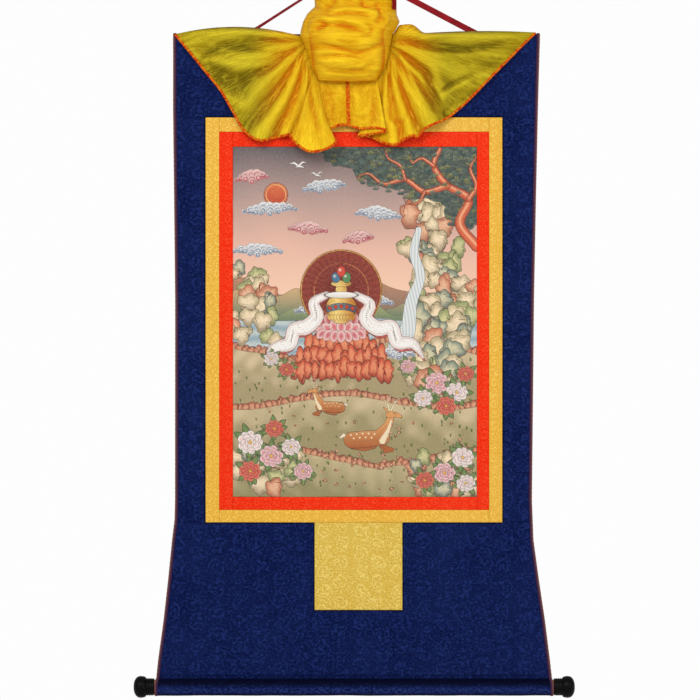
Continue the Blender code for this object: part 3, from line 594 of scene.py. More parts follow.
def sleevePath():
    # off the seam, round under the roller and up its back to the hem, outside
    reach = mount["seam"] - mount["rollHeight"]
    leaves = np.arccos((mount["rollOut"] - 1.5) / reach)
    turns = np.linspace(leaves, 2 * pi - leaves, 48)
    path = [(0, mount["seam"] + 6), (-0.25, mount["seam"] + 2.5), (-0.9, mount["seam"] + 0.4)]
    path += [(mount["rollForward"] + mount["rollOut"] * np.sin(t),
              mount["rollHeight"] + mount["rollOut"] * np.cos(t)) for t in turns]
    path += [(-3.5, mount["seam"] + 1.0), (-3.4, mount["hemTop"])]
    return path


def edgeLine(value):
    # an upright edge, the same across at every height
    return lambda height: np.full(np.shape(height), float(value))


gold, door, binding = mount["gold"], mount["door"], mount["binding"]
inside = mount["gap"] / 2


def panelLeft(height):
    # the navy's left side: the mount's edge, the binding and half a gap in
    return leftEdge(height) + binding + inside


def panelRight(height):
    # the navy's right side: the mount's edge, the binding and half a gap in
    return rightEdge(height) - binding - inside


sidePath = flatPath(gold["top"] - inside, gold["bottom"] + inside)
mountSheet("topPanel", "top_panel", "navy", headedPath(gold["top"] + inside), panelLeft, panelRight, 3,
           "left right bottom")
mountSheet("sidePanelLeft", "side_panel_left", "navy", sidePath, panelLeft, edgeLine(gold["left"] - inside),
           5, "left right")
mountSheet("sidePanelRight", "side_panel_right", "navy", sidePath, edgeLine(gold["right"] + inside),
           panelRight, 7, "left right")


def borderStrips(kind, box, seed, under):
    # upright strips run the box's full height, and the level ones go under them at their ends
    widths = mount[kind + "Width"]
    inner = {"left": box["left"] + widths["left"], "right": box["right"] - widths["right"],
             "top": box["top"] - widths["top"], "bottom": box["bottom"] + widths["bottom"]}
    strips = {
        "left": (box["left"], inner["left"], box["top"], box["bottom"]),
        "right": (inner["right"], box["right"], box["top"], box["bottom"]),
        "top": (inner["left"], inner["right"], box["top"], inner["top"]),
        "bottom": (inner["left"], inner["right"], inner["bottom"], box["bottom"]),
    }
    for number, (side, (left, right, top, bottom)) in enumerate(strips.items()):
        mountSheet(kind + "Border" + side.capitalize(), kind + "_border_" + side, kind,
                   flatPath(top - inside, bottom + inside), edgeLine(left + inside),
                   edgeLine(right - inside), seed + number, under[side])
    return inner


ends = "left right"
redBox = borderStrips("gold", gold, 20, {"left": "", "right": "", "top": ends, "bottom": ends})
picture = borderStrips("red", redBox, 30, {"left": "left top bottom", "right": "right top bottom",
                                           "top": ends + " top", "bottom": ends + " bottom"})
mountSheet("doorPanel", "door_panel", "door", flatPath(gold["bottom"] - inside, door["bottom"] + inside),
           edgeLine(door["left"] + inside), edgeLine(door["right"] - inside), 40,
           "left right top bottom", mount["doorPucker"])

skirt = {
    # across, height, turn in degrees, half length, half width, rise of faint creases
    "creases": [(-150, -905, 14, 70, 6, 0.5), (-60, -918, -8, 60, 7, -0.5), (150, -900, 12, 80, 7, 0.55),
                (30, -900, -6, 70, 8, 0.4), (200, -850, 70, 60, 9, 0.5), (-205, -850, 102, 60, 9, 0.5),
                (-120, -800, 84, 90, 12, -0.35), (130, -790, 95, 90, 12, 0.4)],
    "seamPucker": 0.16, "seamSink": 1.3,
    # distance below the seam, reach, share, whether patchy, and colour: painted shade in the crease over the
    # roller, a patchy painted highlight on the roll's face, and painted shade on its underside
    "paintedLightBands": [(8.5, 11.0, 0.93, False, (1, 3, 26)), (22.0, 6.0, 0.5, True, (48, 66, 130)),
              (32.0, 8.0, 0.7, False, (5, 9, 42))],
    # below the notch: reach and count of the rows down the face, step and reach of those to the seam, and
    # the count of the rest
    "faceRows": (70, 20), "seamRows": (3, 78), "roundRows": 66,
}


def skirtRows(notch, length):
    # places down the skirt: beside the notch, close below it, down the face, and on round the roller
    edge = mount["edgeRound"]
    reach, count = skirt["faceRows"]
    step, last = skirt["seamRows"]
    face = np.linspace(notch + edge, notch + reach, count)[1:]
    face = np.concatenate([face, np.arange(face[-1] + step, notch + last, step)])
    return np.concatenate([spaced(notch, True), notch + np.array([0.25, edge]), face,
                           np.linspace(face[-1], length, skirt["roundRows"])[1:]])


def skirtColumns(lefts, rights):
    # places across each row in three stretches, left of the notch, over it and right of it, and the numbers
    # of the columns between which the notch lies
    notchLeft = np.full_like(lefts, door["left"] - inside)
    notchRight = np.full_like(lefts, door["right"] + inside)
    stretches = []
    for first, last in ((lefts, notchLeft), (notchLeft, notchRight), (notchRight, rights)):
        width = float(np.median(last - first))
        shares = spaced(width, first is lefts, last is rights) / width
        stretch = first + (last - first) * shares
        stretches.append(stretch[:, 1:] if stretches else stretch)
    start = stretches[0].shape[1] - 1
    return np.concatenate(stretches, axis=1), start, start + stretches[1].shape[1]


def skirtCreases(across, height):
    # a soft bell across each faint crease, which fades towards its ends
    total = 0
    for crossAt, heightAt, turned, halfLength, halfWidth, rise in skirt["creases"]:
        turn = radians(turned)
        along = (across - crossAt) * np.cos(turn) + (height - heightAt) * np.sin(turn)
        apart = -(across - crossAt) * np.sin(turn) + (height - heightAt) * np.cos(turn)
        fade = np.clip(1 - (along / halfLength) ** 2, 0, 1)
        total = total + rise * np.exp(-(apart / halfWidth) ** 2) * fade
    return total


def skirtSeam(across, past):
    # the gathered seam over the roller: small uneven pleats on both sides of a groove
    gathers = np.sin(2 * pi * across / 5.1 + 2.5 * np.sin(across / 17)) + softNoise(14, 9, 5, across)
    groove = skirt["seamSink"] * np.exp(-((past / 2.4) ** 2))
    return skirt["seamPucker"] * gathers * np.exp(-np.abs(past) / 5.0) - groove


def skirtSheet():
    # one piece of cloth round the notch for the door panel, and on round the roller as a sleeve
    flat = flatPath(gold["bottom"] - inside, mount["seam"] + mount["joinAbove"])
    path = flat + sleevePath()
    seamAt = pathLength(flat) + mount["joinAbove"]
    length = pathLength(path)
    notch = gold["bottom"] - door["bottom"]
    places = skirtRows(notch, length)
    spots, normals = walk(path, places)
    lefts, rights = panelLeft(spots[:, 1:]), panelRight(spots[:, 1:])
    across, firstInner, lastInner = skirtColumns(lefts, rights)
    down = places[:, None]
    toLeft, toRight = across - lefts, rights - across
    beside = np.maximum(door["left"] - inside - across, across - door["right"] - inside)
    toNotch = np.clip(np.maximum(beside, down - notch), 0, None)
    rim = np.minimum(np.minimum(toLeft, toRight), np.minimum(down, length - down))
    out = rounded(np.minimum(rim, toNotch), 0, mount["edgeRound"])
    out = out + 0.14 * softNoise(11, 60, 6, across, down) + 0.04 * softNoise(12, 14, 6, across, down)
    out = out + skirtCreases(across, spots[:, 1:])
    seams = ((down, toLeft), (down, toRight), (across, down), (down, toNotch))
    for side, (along, distance) in enumerate(seams):
        out = out + seamRipple(along, distance, 0, side, mount["pucker"][0])
    out = out + skirtSeam(across, down - seamAt)
    keep = np.ones((len(places) - 1, across.shape[1] - 1), bool)
    keep[np.ix_((places[:-1] + places[1:]) / 2 < notch, np.arange(firstInner, lastInner))] = False
    recipe = dict(brocades["navy"], paintedLightBands=[(seamAt + below, *tone) for below, *tone in skirt["paintedLightBands"]])
    piece = meshPiece("bottomPanel", offPath(spots, normals, across, out), gridFaces(*across.shape, keep),
                      pattern(across, -down), brocadeFinish("skirtBrocade", recipe))
    thicken(piece, mount["stands"]["navy"][1])
    settle(piece, ["bottom_panel"])
skirtSheet()

edging = {
    "rows": 330, "thick": 0.7,
    # inward from the edge, out of the cloth's face: a flattened half round
    "section": [(0.05, -0.5), (0.35, 0.25), (1.0, 0.62), (2.2, 0.72), (binding - 1.2, 0.68),
                (binding - 0.35, 0.45), (binding, 0.05)],
    "ripple": (5.7, 0.07, 0.12),  # pitch, rise out of the face, drift across it
}


def bindingStrip(side):
    # a strip down the mount's side that turns round its edge, and goes on round the sleeve's end
    path = headedPath(mount["seam"] + mount["joinAbove"]) + sleevePath()
    length = pathLength(path)
    places = np.linspace(0, length, edging["rows"])
    spots, normals = walk(path, places)
    edge, sign = (leftEdge, 1) if side == "left" else (rightEdge, -1)
    inward, out = np.array(edging["section"]).T
    pitch, rise, drift = edging["ripple"]
    ripple = np.sin(2 * pi * places / pitch + 2 * np.sin(places / 19))[:, None]
    across = edge(spots[:, 1:]) + sign * inward + drift * ripple * sign
    points = offPath(spots, normals, across, out + rise * ripple)
    # its pattern runs inward from the edge, and down
    uv = pattern(inward, -places[:, None])
    if side == "right":
        points, uv = points[:, ::-1], uv[:, ::-1]
    piece = meshPiece("binding" + side.capitalize(), points, gridFaces(*points.shape[:2]), uv,
                      finishes["binding"])
    thicken(piece, edging["thick"])
    settle(piece, ["edge_binding_" + side])


bindingStrip("left")
bindingStrip("right")
print("mount made")

knobs = {
    "neckRadius": 11.1, "rimRadius": 14.5, "bulb": 15.5, "domeDepth": 9.5, "domeRoundness": 0.8,
    "necks": {"left": 11.8, "right": 12.3},
    "bevel": [(0.0, 0.8), (0.3, 0.24), (0.8, 0.0)],  # along the neck, inside its radius
    "ribs": [(0.28, 0.45), (0.52, 0.45), (0.76, 0.4)],  # place along the neck, rise
    "ribWidth": 0.55, "segments": 96, "clear": 0.3,
    # how far before the neck's end the hollow starts, its length, and the bead's height
    "throat": 1.2, "hollow": 5.2, "bead": 0.4,
    "groove": (0.86, 0.35, 0.5),  # share of the dome's depth, depth, half width
}


def knobProfile(neck):
    # radius and length: the neck with its ribs, a hollow up to the rim, a bead, then a domed end
    bevel, thin = np.array(knobs["bevel"]), knobs["neckRadius"]
    start = neck - knobs["throat"]
    along = np.concatenate([[0], bevel[:, 0], np.linspace(bevel[-1, 0], start, 40)[1:]])
    radius = np.concatenate([[0], thin - bevel[:, 1], np.full(39, thin)])
    for share, rise in knobs["ribs"]:
        rib = rise * np.exp(-((along - share * neck) / knobs["ribWidth"])**2)
        radius = radius + np.where(along > 0.9, rib, 0)
    turn = np.linspace(0, pi / 2, 14)[1:]
    hollow = start + knobs["hollow"] * (1 - np.cos(turn))
    hollowRadius = thin + (knobs["rimRadius"] - thin - knobs["bead"]) * np.sin(turn)
    length = neck + knobs["bulb"]
    turn = np.linspace(pi / 2, 0, 34)
    dome = length - knobs["domeDepth"] * (1 - np.cos(turn))
    domeRadius = knobs["rimRadius"] * np.sin(turn) ** knobs["domeRoundness"]
    share, deep, half = knobs["groove"]
    groove = deep * np.exp(-((dome - (length - knobs["domeDepth"] * share)) / half) ** 2)
    domeRadius = domeRadius - groove * (domeRadius > 3)
    return np.concatenate([radius, hollowRadius, domeRadius]), np.concatenate([along, hollow, dome])


def knobPiece(side):
    # the profile turned round the roller's axis, with one point at each pole
    radius, along = knobProfile(knobs["necks"][side])
    edge, sign = (leftEdge, -1) if side == "left" else (rightEdge, 1)
    turn = np.linspace(0, 2 * pi, knobs["segments"] + 1)[:-1]
    across = edge(mount["rollHeight"]) + sign * (knobs["clear"] + along)
    forward = mount["rollForward"] + radius[:, None] * np.sin(turn) * -sign
    height = mount["rollHeight"] + radius[:, None] * np.cos(turn)
    points = toFrame(across[:, None], forward, height)
    rows, columns = points.shape[:2]
    index = np.arange(rows * columns).reshape(rows, columns)
    index[0] = 0
    index[-1] = (rows - 1) * columns
    faces = [list(dict.fromkeys(face)) for face in quadsOf(closedRows(index)).reshape(-1, 4).tolist()]
    used = np.unique(np.concatenate(faces))
    renumber = np.zeros(rows * columns, int)
    renumber[used] = np.arange(len(used))
    faces = [renumber[face].tolist() for face in faces]
    piece = meshPiece("knob" + side.capitalize(), points.reshape(-1, 3)[used], faces, None, finishes["knob"])
    settle(piece, ["knob_" + side])


knobPiece("left")
knobPiece("right")
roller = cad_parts["roller"]
for slot in roller.material_slots:
    slot.material = finishes["wood"]
print("roller and knobs made")


def tapeBand(name, path, facing, tape, nodeName):
    # carries the tape's section along a path of (across, forward, height) rows; facing is the way in which
    # its face looks at each place
    along = unit(np.gradient(path, axis=0))
    facing = unit(facing - (facing * along).sum(1)[:, None] * along)
    sideways = np.cross(along, facing)
    section = tapeSection(tape["width"], tape["thick"])
    rings = path[:, None] + sideways[:, None] * section[:, :1] + facing[:, None] * section[:, 1:]
    far = farAlong(path)
    piece = meshPiece(name, placed(rings), sweptFaces(*rings.shape[:2]),
                      pattern(section[:, 0], far[:, None]), finishes["tape"])
    piece.data.set_sharp_from_angle(angle=radians(60))
    settle(piece, [nodeName])


def tapeSection(width, thick):
    # a flat band with round edges
    turn = np.linspace(-pi / 2, pi / 2, 6)
    right = np.stack([(width - thick) / 2 + thick / 2 * np.cos(turn), thick / 2 * np.sin(turn)], axis=1)
    inner = np.linspace((width - thick) / 2, -(width - thick) / 2, 6)[1:-1]
    top = np.stack([inner, np.full(4, thick / 2)], axis=1)
    return np.concatenate([right, top, -right, -top])


ribbon = {
    "width": 8.0, "thick": 1.0,
    # across, forward of the loop, height, turn of the width from facing the viewer to edge on
    "route": [(-150.0, 0.5, -108.6, 0), (-135.0, 0.5, -99.0, 0), (-128.7, 0.3, -94.9, 30),
              (-122.5, 0.0, -90.9, 58), (-95.0, 0.0, -73.2, 62), (-67.0, 0.0, -55.2, 64),
              (-38.0, 0.0, -37.0, 74), (-18.0, 0.0, -25.3, 88), (-8.3, 0.0, -19.6, 90),
              (-4.0, 0.0, -14.2, 90), (-3.4, 0.0, -7.5, 90), (-3.3, 0.0, -4.0, 90), (-2.3, 0.0, -1.5, 90),
              (0.0, 0.0, -0.5, 90), (2.3, 0.0, -1.5, 90), (3.3, 0.0, -4.0, 90), (3.4, 0.0, -7.5, 90),
              (4.0, 0.0, -14.2, 90), (8.5, 0.0, -19.6, 90), (20.0, 0.0, -24.8, 90),
              (35.0, 0.0, -30.7, 65), (52.0, 0.0, -39.7, 20), (81.7, 0.0, -55.3, 0),
              (119.0, 0.2, -75.0, 0), (156.7, 0.4, -94.8, 0), (184.0, 0.5, -109.0, 0)],
}


def ribbonPiece():
    # one length of tape from the mount up through the loop and down again, turned edge on at the loop
    rows = smoothRows(ribbon["route"], 6)
    path = rows[:, :3] - [0, loopBehind, 0]
    turn = np.radians(rows[:, 3])[:, None]
    along = unit(np.gradient(path, axis=0))
    facing = viewer * np.cos(turn) + np.cross(along, viewer) * np.sin(turn)
    tapeBand("hangingRibbon", path, facing, ribbon, "hanging_ribbon")


ribbonPiece()
veil = {
    "thick": 0.5,
    # height, left, right, belly, sides, back of the bunch
    "bunch": [(-12, -12.5, 12.5, 14, 7, 0.0), (-17, -13.3, 13.8, 15, 7, 0.0), (-21, -19, 26, 20, 7.5, 0.3),
              (-29, -32, 42, 27, 8, 0.5), (-42, -43, 55, 32, 8.5, 0.5), (-55, -48, 60, 34, 9, 0.5),
              (-65, -48, 60, 34, 8.8, 0.5), (-75, -58, 60, 36, 8.6, 0.5), (-85, -63, 64, 40, 8.4, 1.0),
              (-95, -66, 59, 42, 8.2, 2.6), (-103, -67, 54, 43, 8.1, 2.8), (-116, -62, 52, 43, 9.2, 2.8),
              (-126, -58, 50, 42, 10.2, 2.8), (-137, -54, 47, 40, 11.2, 2.8), (-148, -51, 43, 36, 11.9, 2.8),
              (-155, -46, 38, 30, 12.4, 2.8), (-164.5, -42, 32, 20, 13.0, 2.8)],
    "neck": [-12.0, -17.0, -21.0],
    "bellyRoundness": 0.85, "backRoundness": 0.6, "columnSpread": 0.75, "backFoot": -102.0,
    # height, half width, half depth of the cloth above the tie
    "head": [(-7.5, 12.5, 7.0), (-4.5, 14.0, 7.5), (-1.5, 11.5, 6.0), (-0.2, 5.0, 3.0)],
    "headForward": 7.0, "headCrown": 0.3,
    "gather": -103.0, "corner": -162.0, "cornerRoot": 0.64, "edgeDrop": 2.5, "edgeSpread": 0.75,
    # height, half length, half width, rise of the crosswise folds over the belly
    "bellyFolds": [(-42, 40, 8, 2.4), (-60, 44, 9, -4.2), (-78, 42, 8, 3.0), (-96, 40, 8, -3.8),
                   (-113, 38, 8, 3.2), (-130, 38, 7, -3.6), (-146, 34, 7, 2.4)],
    "bellySlope": 0.10,
    # root, across, height, forward, bow, swell, late: crests and valleys along the free edge
    "leftFolds": [
        (0.00, -231.8, -100.8, 2.9, 11, 0, 0), (0.03, -221.5, -113.0, 3.8, 9, 6, 0),
        (0.06, -209.0, -128.0, 4.2, 6, 1, 0), (0.09, -190.5, -151.0, 4.5, 3, 6, 0),
        (0.12, -171.2, -175.2, 5.0, 0, 1, 0), (0.155, -155.5, -202.0, 6.0, 0, 6, 0),
        (0.19, -140.3, -227.8, 8.0, 0, 0, 0), (0.25, -121.0, -240.8, 17.0, 0, 0, 0),
        (0.31, -101.4, -237.1, 6.0, 0, 0, 0), (0.36, -87.0, -234.2, 9.0, 0, 0, 0),
        (0.41, -64.5, -227.8, 4.5, 0, 0, 0), (0.435, -63.5, -229.5, 9.0, 0, 0, 0),
        (0.46, -79.5, -236.0, 17.0, 0, 0, 0.4), (0.51, -57.0, -255.7, 27.0, 0, 0, 0.4),
        (0.56, -32.0, -252.5, 26.0, 0, 0, 0.8), (0.61, -19.8, -241.5, 20.0, 0, 0, 0.8),
        (0.67, -37.0, -233.0, 9.5, 0, 0, 0.6), (0.82, -18.5, -221.5, 11.0, 0, 0, 0.0),
        (1.00, -3.9, -219.9, 9.0, 0, 0, 0)],
    "rightFolds": [
        (1.00, -2.6, -220.6, 9.5, 0, 0, 0), (0.84, 12.0, -225.6, 14.0, 0, 0, 0),
        (0.70, 30.0, -224.4, 17.0, 0, 0, 0), (0.60, 45.8, -229.2, 18.0, 0, 0, 0),
        (0.54, 8.0, -235.6, 11.0, 0, 0, 0.8), (0.49, 24.0, -235.5, 5.5, 0, 0, 0.8),
        (0.45, 42.5, -243.9, 12.0, 0, 0, 0.3), (0.41, 56.5, -247.0, 19.0, 0, 0, 0),
        (0.37, 67.2, -241.0, 13.0, 0, 0, 0), (0.33, 79.0, -235.0, 19.0, 0, 0, 0),
        (0.29, 91.5, -228.2, 14.0, 0, 0, 0), (0.25, 105.0, -221.5, 20.0, 0, 0, 0),
        (0.20, 126.0, -211.5, 8.0, 0, 0, 0), (0.17, 139.0, -201.5, 7.5, 0, 6, 0),
        (0.14, 155.0, -187.0, 6.5, 0, 0, 0), (0.11, 176.0, -165.5, 6.0, 0, 6, 0),
        (0.07, 204.0, -137.0, 4.5, 1, 0, 0), (0.03, 233.0, -108.0, 3.8, 3, 6, 0),
        (0.00, 243.6, -98.4, 2.9, 4, 0, 0)],
    "slitShare": 0.006, "foldSteps": 6, "bunchSteps": 100, "fanSteps": 76, "backColumns": 30,
    "foldSpread": 0.72, "lateSpread": 0.6, "tuck": (0.8, 4.0), "tuckLayer": 1.65,
    "tuckTowards": (-4.0, -122.0), "fanForward": 8.4,
    "creaseSharp": 1.5,
    "gathers": [(-60, -112), (52, -112)], "gatherPleats": (44, 1.3, 55.0),  # places; count, rise, reach
    "settled": 0.6,                          # how much of the crosswise folds is left under the creases
    "lying": 1.7, "lyingSoftness": 0.7,      # the least height of the cloth over the mount
    "frill": (0.9, 10.5, 9.0),               # rise, pitch and reach of the free edge's ripple
    "neckPleats": (10, 1.5, -21.0, -72.0),   # count, rise, and the heights between which they fade
    # across, height, half length, half width, turn in degrees, share: painted shadows on the wings
    "shadows": [(-166, -160, 32, 13, -40, 0.85), (107, -175, 27, 5.5, -62, 0.8), (133, -186, 17, 8, 38, 0.5),
                (160, -161, 9, 5, -45, 0.4)],
    "tuft": (70.0, 20.0, 13.5), "nib": (88.0, 5.0, 5.5),  # across, half width, rise
    "middle": -4.0, "olive": (66.0, 70.0, 0.12),  # how far out the olive starts, over what, its least share
    # tuckShade: a painted amber shade in the tuck under the bunch
    "tuckShade": 0.35, "fanPattern": (-180, -340),
}

# half width, rise, and the points (across, height) of a crease: ridges rise, troughs fall
bunchCreases = [
    (4.5, 2.8, [(-55, -91), (-42, -83), (-16, -84), (11, -90), (27, -96)]),
    (3.3, -3.2, [(-42, -91), (-16, -92), (7, -97), (24, -103)]),
    (3.0, -3.0, [(-47, -98), (-40, -95), (-33, -94)]),
    (4.0, 3.0, [(-29, -75), (4, -70), (30, -75), (37, -83)]),
    (3.2, -3.0, [(-36, -80), (-2, -76), (27, -81)]),
    (9.0, 3.4, [(-55, -109), (-22, -105), (11, -108), (37, -116)]),
    (3.6, -3.8, [(-58, -122), (-22, -122), (11, -127), (34, -119), (50, -109)]),
    (3.2, 2.8, [(-48, -128), (-22, -127), (7, -131)]),
    (2.7, -3.0, [(-45, -132), (-16, -131), (11, -136), (17, -143)]),
    (4.2, 2.6, [(-39, -139), (-16, -139), (7, -141)]),
    (2.9, -3.0, [(-45, -146), (-16, -149), (14, -149), (34, -140)]),
    (3.4, 2.0, [(-46, -154), (-6, -156), (35, -155)]),
    (3.0, -2.4, [(-20, -50), (-24, -62), (-36, -70)]), (3.2, -2.6, [(9, -50), (17, -66), (34, -72)]),
    (4.0, 2.2, [(-6, -46), (-4, -62)]), (3.0, -1.4, [(-61, -104), (-55, -121), (-52, -140)]),
    (3.0, -1.4, [(52, -106), (44, -124), (40, -147)]), (3.2, -2.6, [(-58, -104), (-58, -88), (-46, -76)]),
    (3.4, -3.2, [(30, -62), (38, -75), (33, -91)]), (4.0, 2.6, [(45, -74), (48, -84), (40, -98)]),
    (3.0, -2.2, [(-20, -112), (-5, -115), (12, -113)]), (3.0, -2.0, [(-52, -58), (-44, -68), (-26, -74)]),
    (2.4, -2.6, [(-57, -90), (-50, -86), (-40, -87), (-34, -91), (-40, -95), (-52, -97)]),
    (2.4, -2.4, [(12, -88), (22, -92), (27, -98), (22, -105), (6, -108), (-12, -107)]),
    (2.2, 2.2, [(-24, -136), (-6, -134), (10, -137), (16, -142), (8, -147), (-10, -147)]),
    (2.2, -2.2, [(-56, -118), (-40, -117), (-24, -119), (-8, -124)]),
    (2.2, -2.0, [(-46, -152), (-20, -153), (8, -155), (30, -150)]),
]
fanCreases = [
    (4.0, 1.6, [(-222, -102), (-173, -97), (-120, -98), (-78, -107)]),
    (2.4, -2.8, [(-122, -109), (-98, -111), (-72, -113)]),
    (4.6, -3.4, [(-166, -116), (-138, -121), (-110, -124), (-84, -126)]),
    (5.0, 2.8, [(-218, -112), (-197, -133), (-170, -139), (-140, -144), (-103, -139), (-80, -124)]),
    (13.0, -4.0, [(-196, -134), (-153, -163), (-138, -190)]),
    (5.0, 2.2, [(-144, -182), (-122, -164), (-100, -150)]),
    (3.6, -3.0, [(-148, -190), (-118, -160), (-90, -134), (-70, -116)]),
    (4.6, 3.6, [(-148, -200), (-105, -157), (-78, -130)]),
    (4.2, -3.4, [(-127, -222), (-98, -183), (-78, -144), (-68, -121)]),
    (5.0, 3.2, [(-107, -222), (-84, -183), (-71, -144)]),
    (3.8, -3.6, [(-88, -228), (-73, -186), (-64, -140), (-63, -118)]),
    (4.5, 3.4, [(-68, -232), (-60, -186), (-58, -147)]),
    (3.8, -3.0, [(-55, -163), (-51, -193), (-42, -232)]),
    (5.0, 2.6, [(-42, -170), (-39, -203), (-32, -239)]),
    (4.0, 1.6, [(66, -101), (125, -104), (184, -105), (233, -103)]),
    (4.5, -3.6, [(63, -109), (102, -117), (151, -119), (210, -112)]),
    (6.0, 3.0, [(70, -117), (115, -126), (168, -128), (214, -119)]),
    (2.8, -2.8, [(116, -178), (136, -164), (164, -153)]),
    (4.5, 2.8, [(115, -186), (148, -167), (186, -149)]),
    (3.6, -2.4, [(115, -206), (142, -191), (173, -167)]),
    (4.6, -7.0, [(60, -121), (79, -137), (97, -151), (106, -173), (116, -203)]),
    (4.6, 3.8, [(84, -128), (107, -147), (121, -172)]),
    (4.5, 4.2, [(60, -121), (77, -152), (94, -190), (102, -218)]),
    (3.8, -3.8, [(60, -121), (65, -163), (79, -206), (87, -229)]),
    (4.2, 3.4, [(56, -131), (58, -173), (63, -213)]),
    (3.5, -3.2, [(51, -137), (50, -180), (53, -222)]),
    (4.0, 3.0, [(45, -163), (43, -196), (45, -232)]),
    (4.0, -1.8, [(129, -209), (161, -186), (186, -162)]),
    (3.0, -2.6, [(65, -170), (54, -189), (52, -208), (62, -219), (74, -209), (74, -198), (68, -184)]),
    (6.0, -1.6, [(-26, -170), (-22, -222)]), (6.0, 1.6, [(4, -173), (11, -213)]),
    (5.0, -1.8, [(27, -173), (30, -222)]),
    (3.4, -2.0, [(-170, -118), (-190, -128), (-200, -140)]),
    (3.6, 2.0, [(176, -124), (200, -132), (196, -146)]),
]


def fineCreases(seed, count, box, towards, spread, long):
    # short shallow creases at random places of a box, about along the line to a point, or crosswise
    random = np.random.default_rng(seed)
    made = []
    for _ in range(count):
        x, z = random.uniform(*box[:2]), random.uniform(*box[2:])
        turn = np.arctan2(towards[1] - z, towards[0] - x) if towards else 0.0
        turn = turn + random.uniform(-spread, spread)
        half, bend = random.uniform(*long), random.uniform(-4, 4)
        run, side = np.array([np.cos(turn), np.sin(turn)]), np.array([-np.sin(turn), np.cos(turn)])
        spot = np.array([x, z])
        line = [tuple(spot - half * run), tuple(spot + bend * side), tuple(spot + half * run)]
        made.append((random.uniform(2.1, 3.0), random.choice([-1, 1]) * random.uniform(0.6, 1.3), line))
    return made


bunchCreases += fineCreases(91, 34, (-52, 44, -158, -40), None, 0.55, (7, 18))
for row in ((92, 22, (-180, -70, -190, -105), (-62, -112), 0.25, (12, 26)),
            (93, 22, (62, 200, -180, -105), (52, -112), 0.25, (12, 26)),
            (94, 16, (-90, 90, -225, -165), (0, -60), 0.25, (10, 20))):
    fanCreases += fineCreases(*row)


def creased(across, height, creases):
    # a soft bell across each smooth line through a crease's points, fading at the line's ends
    total = np.zeros(np.broadcast(across, height).shape)
    for halfWidth, rise, line in creases:
        line = smoothRows(line, 5)
        count = len(line) - 1
        nearest = np.full(total.shape, 1e6)
        place = np.zeros(total.shape)
        for number in range(count):
            (startX, startZ), (runX, runZ) = line[number], line[number + 1] - line[number]
            along = ((across - startX) * runX + (height - startZ) * runZ) / (runX**2 + runZ**2)
            along = np.clip(along, 0, 1)
            apart = np.hypot(across - startX - along * runX, height - startZ - along * runZ)
            closer = apart < nearest
            nearest = np.where(closer, apart, nearest)
            place = np.where(closer, (number + along) / count, place)
        fade = np.clip(4 * place * (1 - place), 0, 1) ** 0.7
        total = total + rise * fade * np.exp(-((nearest / halfWidth) ** veil["creaseSharp"]))
    return total


def windowMean(values, rows, columns):
    # the mean over a window of a grid, whose ends are held
    for axis, reach in ((0, rows), (1, columns)):
        room = [(reach, reach) if axis == number else (0, 0) for number in (0, 1)]
        padded = np.pad(values, room, mode="edge")
        count = values.shape[axis]
        values = sum(np.take(padded, range(shift, shift + count), axis) for shift in range(2 * reach + 1))
        values = values / (2 * reach + 1)
    return values


def foldShadeTint(across, forward, flat, scale=2.4):
    # painted shade in the hollows in red, green where the silk lies flat on the mount, a painted highlight
    # on the crests in blue
    raised = (forward - windowMean(forward, 4, 5)) / scale
    return np.stack([np.clip(-raised, 0, 0.85), flat + 0 * across, np.clip(raised, 0, 0.8),
                     np.ones(across.shape)], axis=-1)


def belly(height, share):
    # each level section of the bunch's front is half an ellipse, a little fuller, with crosswise folds on it
    left, right, front, side = (lookup(veil["bunch"], column, height) for column in (1, 2, 3, 4))
    middle, half = (left + right) / 2, (right - left) / 2
    across = middle - half * np.cos(pi * share)
    roundness = np.clip(np.sin(pi * share), 0, 1) ** veil["bellyRoundness"]
    forward = side + (front - side) * roundness
    for level, halfLength, halfWidth, rise in veil["bellyFolds"]:
        down = (height + veil["bellySlope"] * across - level) / halfWidth
        sideways = (across - middle) / halfLength
        forward = forward + veil["settled"] * rise * np.exp(-(down**2)) * np.clip(1 - sideways**2, 0, 1)
    return across, forward


def veilColumns():
    # root height, root share, root, across, height, forward, bow, swell and late of every column
    found = []
    for rows, side in ((veil["leftFolds"], "left"), (veil["rightFolds"], "right")):
        rows = smoothRows(rows, veil["foldSteps"])
        root = rows[:, 0]
        down = np.clip(root / veil["cornerRoot"], 0, 1)
        inward = np.clip((root - veil["cornerRoot"]) / (1 - veil["cornerRoot"]), 0, 1)
        height = veil["gather"] + (veil["corner"] - veil["gather"]) * down
        height = height - veil["edgeDrop"] * np.sin(inward * pi / 2)
        share = (0.5 - veil["slitShare"]) * inward ** veil["edgeSpread"]
        share = share if side == "left" else 1 - share
        found.append(np.column_stack([height, share, root, rows[:, 1:]]))
    return found


def bunchHeights(foot):
    # rows of heights: three round the neck, then evenly down to each column's foot
    even = np.linspace(0, 1, veil["bunchSteps"] + 1)[1:, None]
    foot = np.atleast_1d(foot)
    neck = np.repeat(np.array(veil["neck"])[:, None], len(foot), axis=1)
    return np.concatenate([neck, neck[-1] + (foot - neck[-1]) * even])


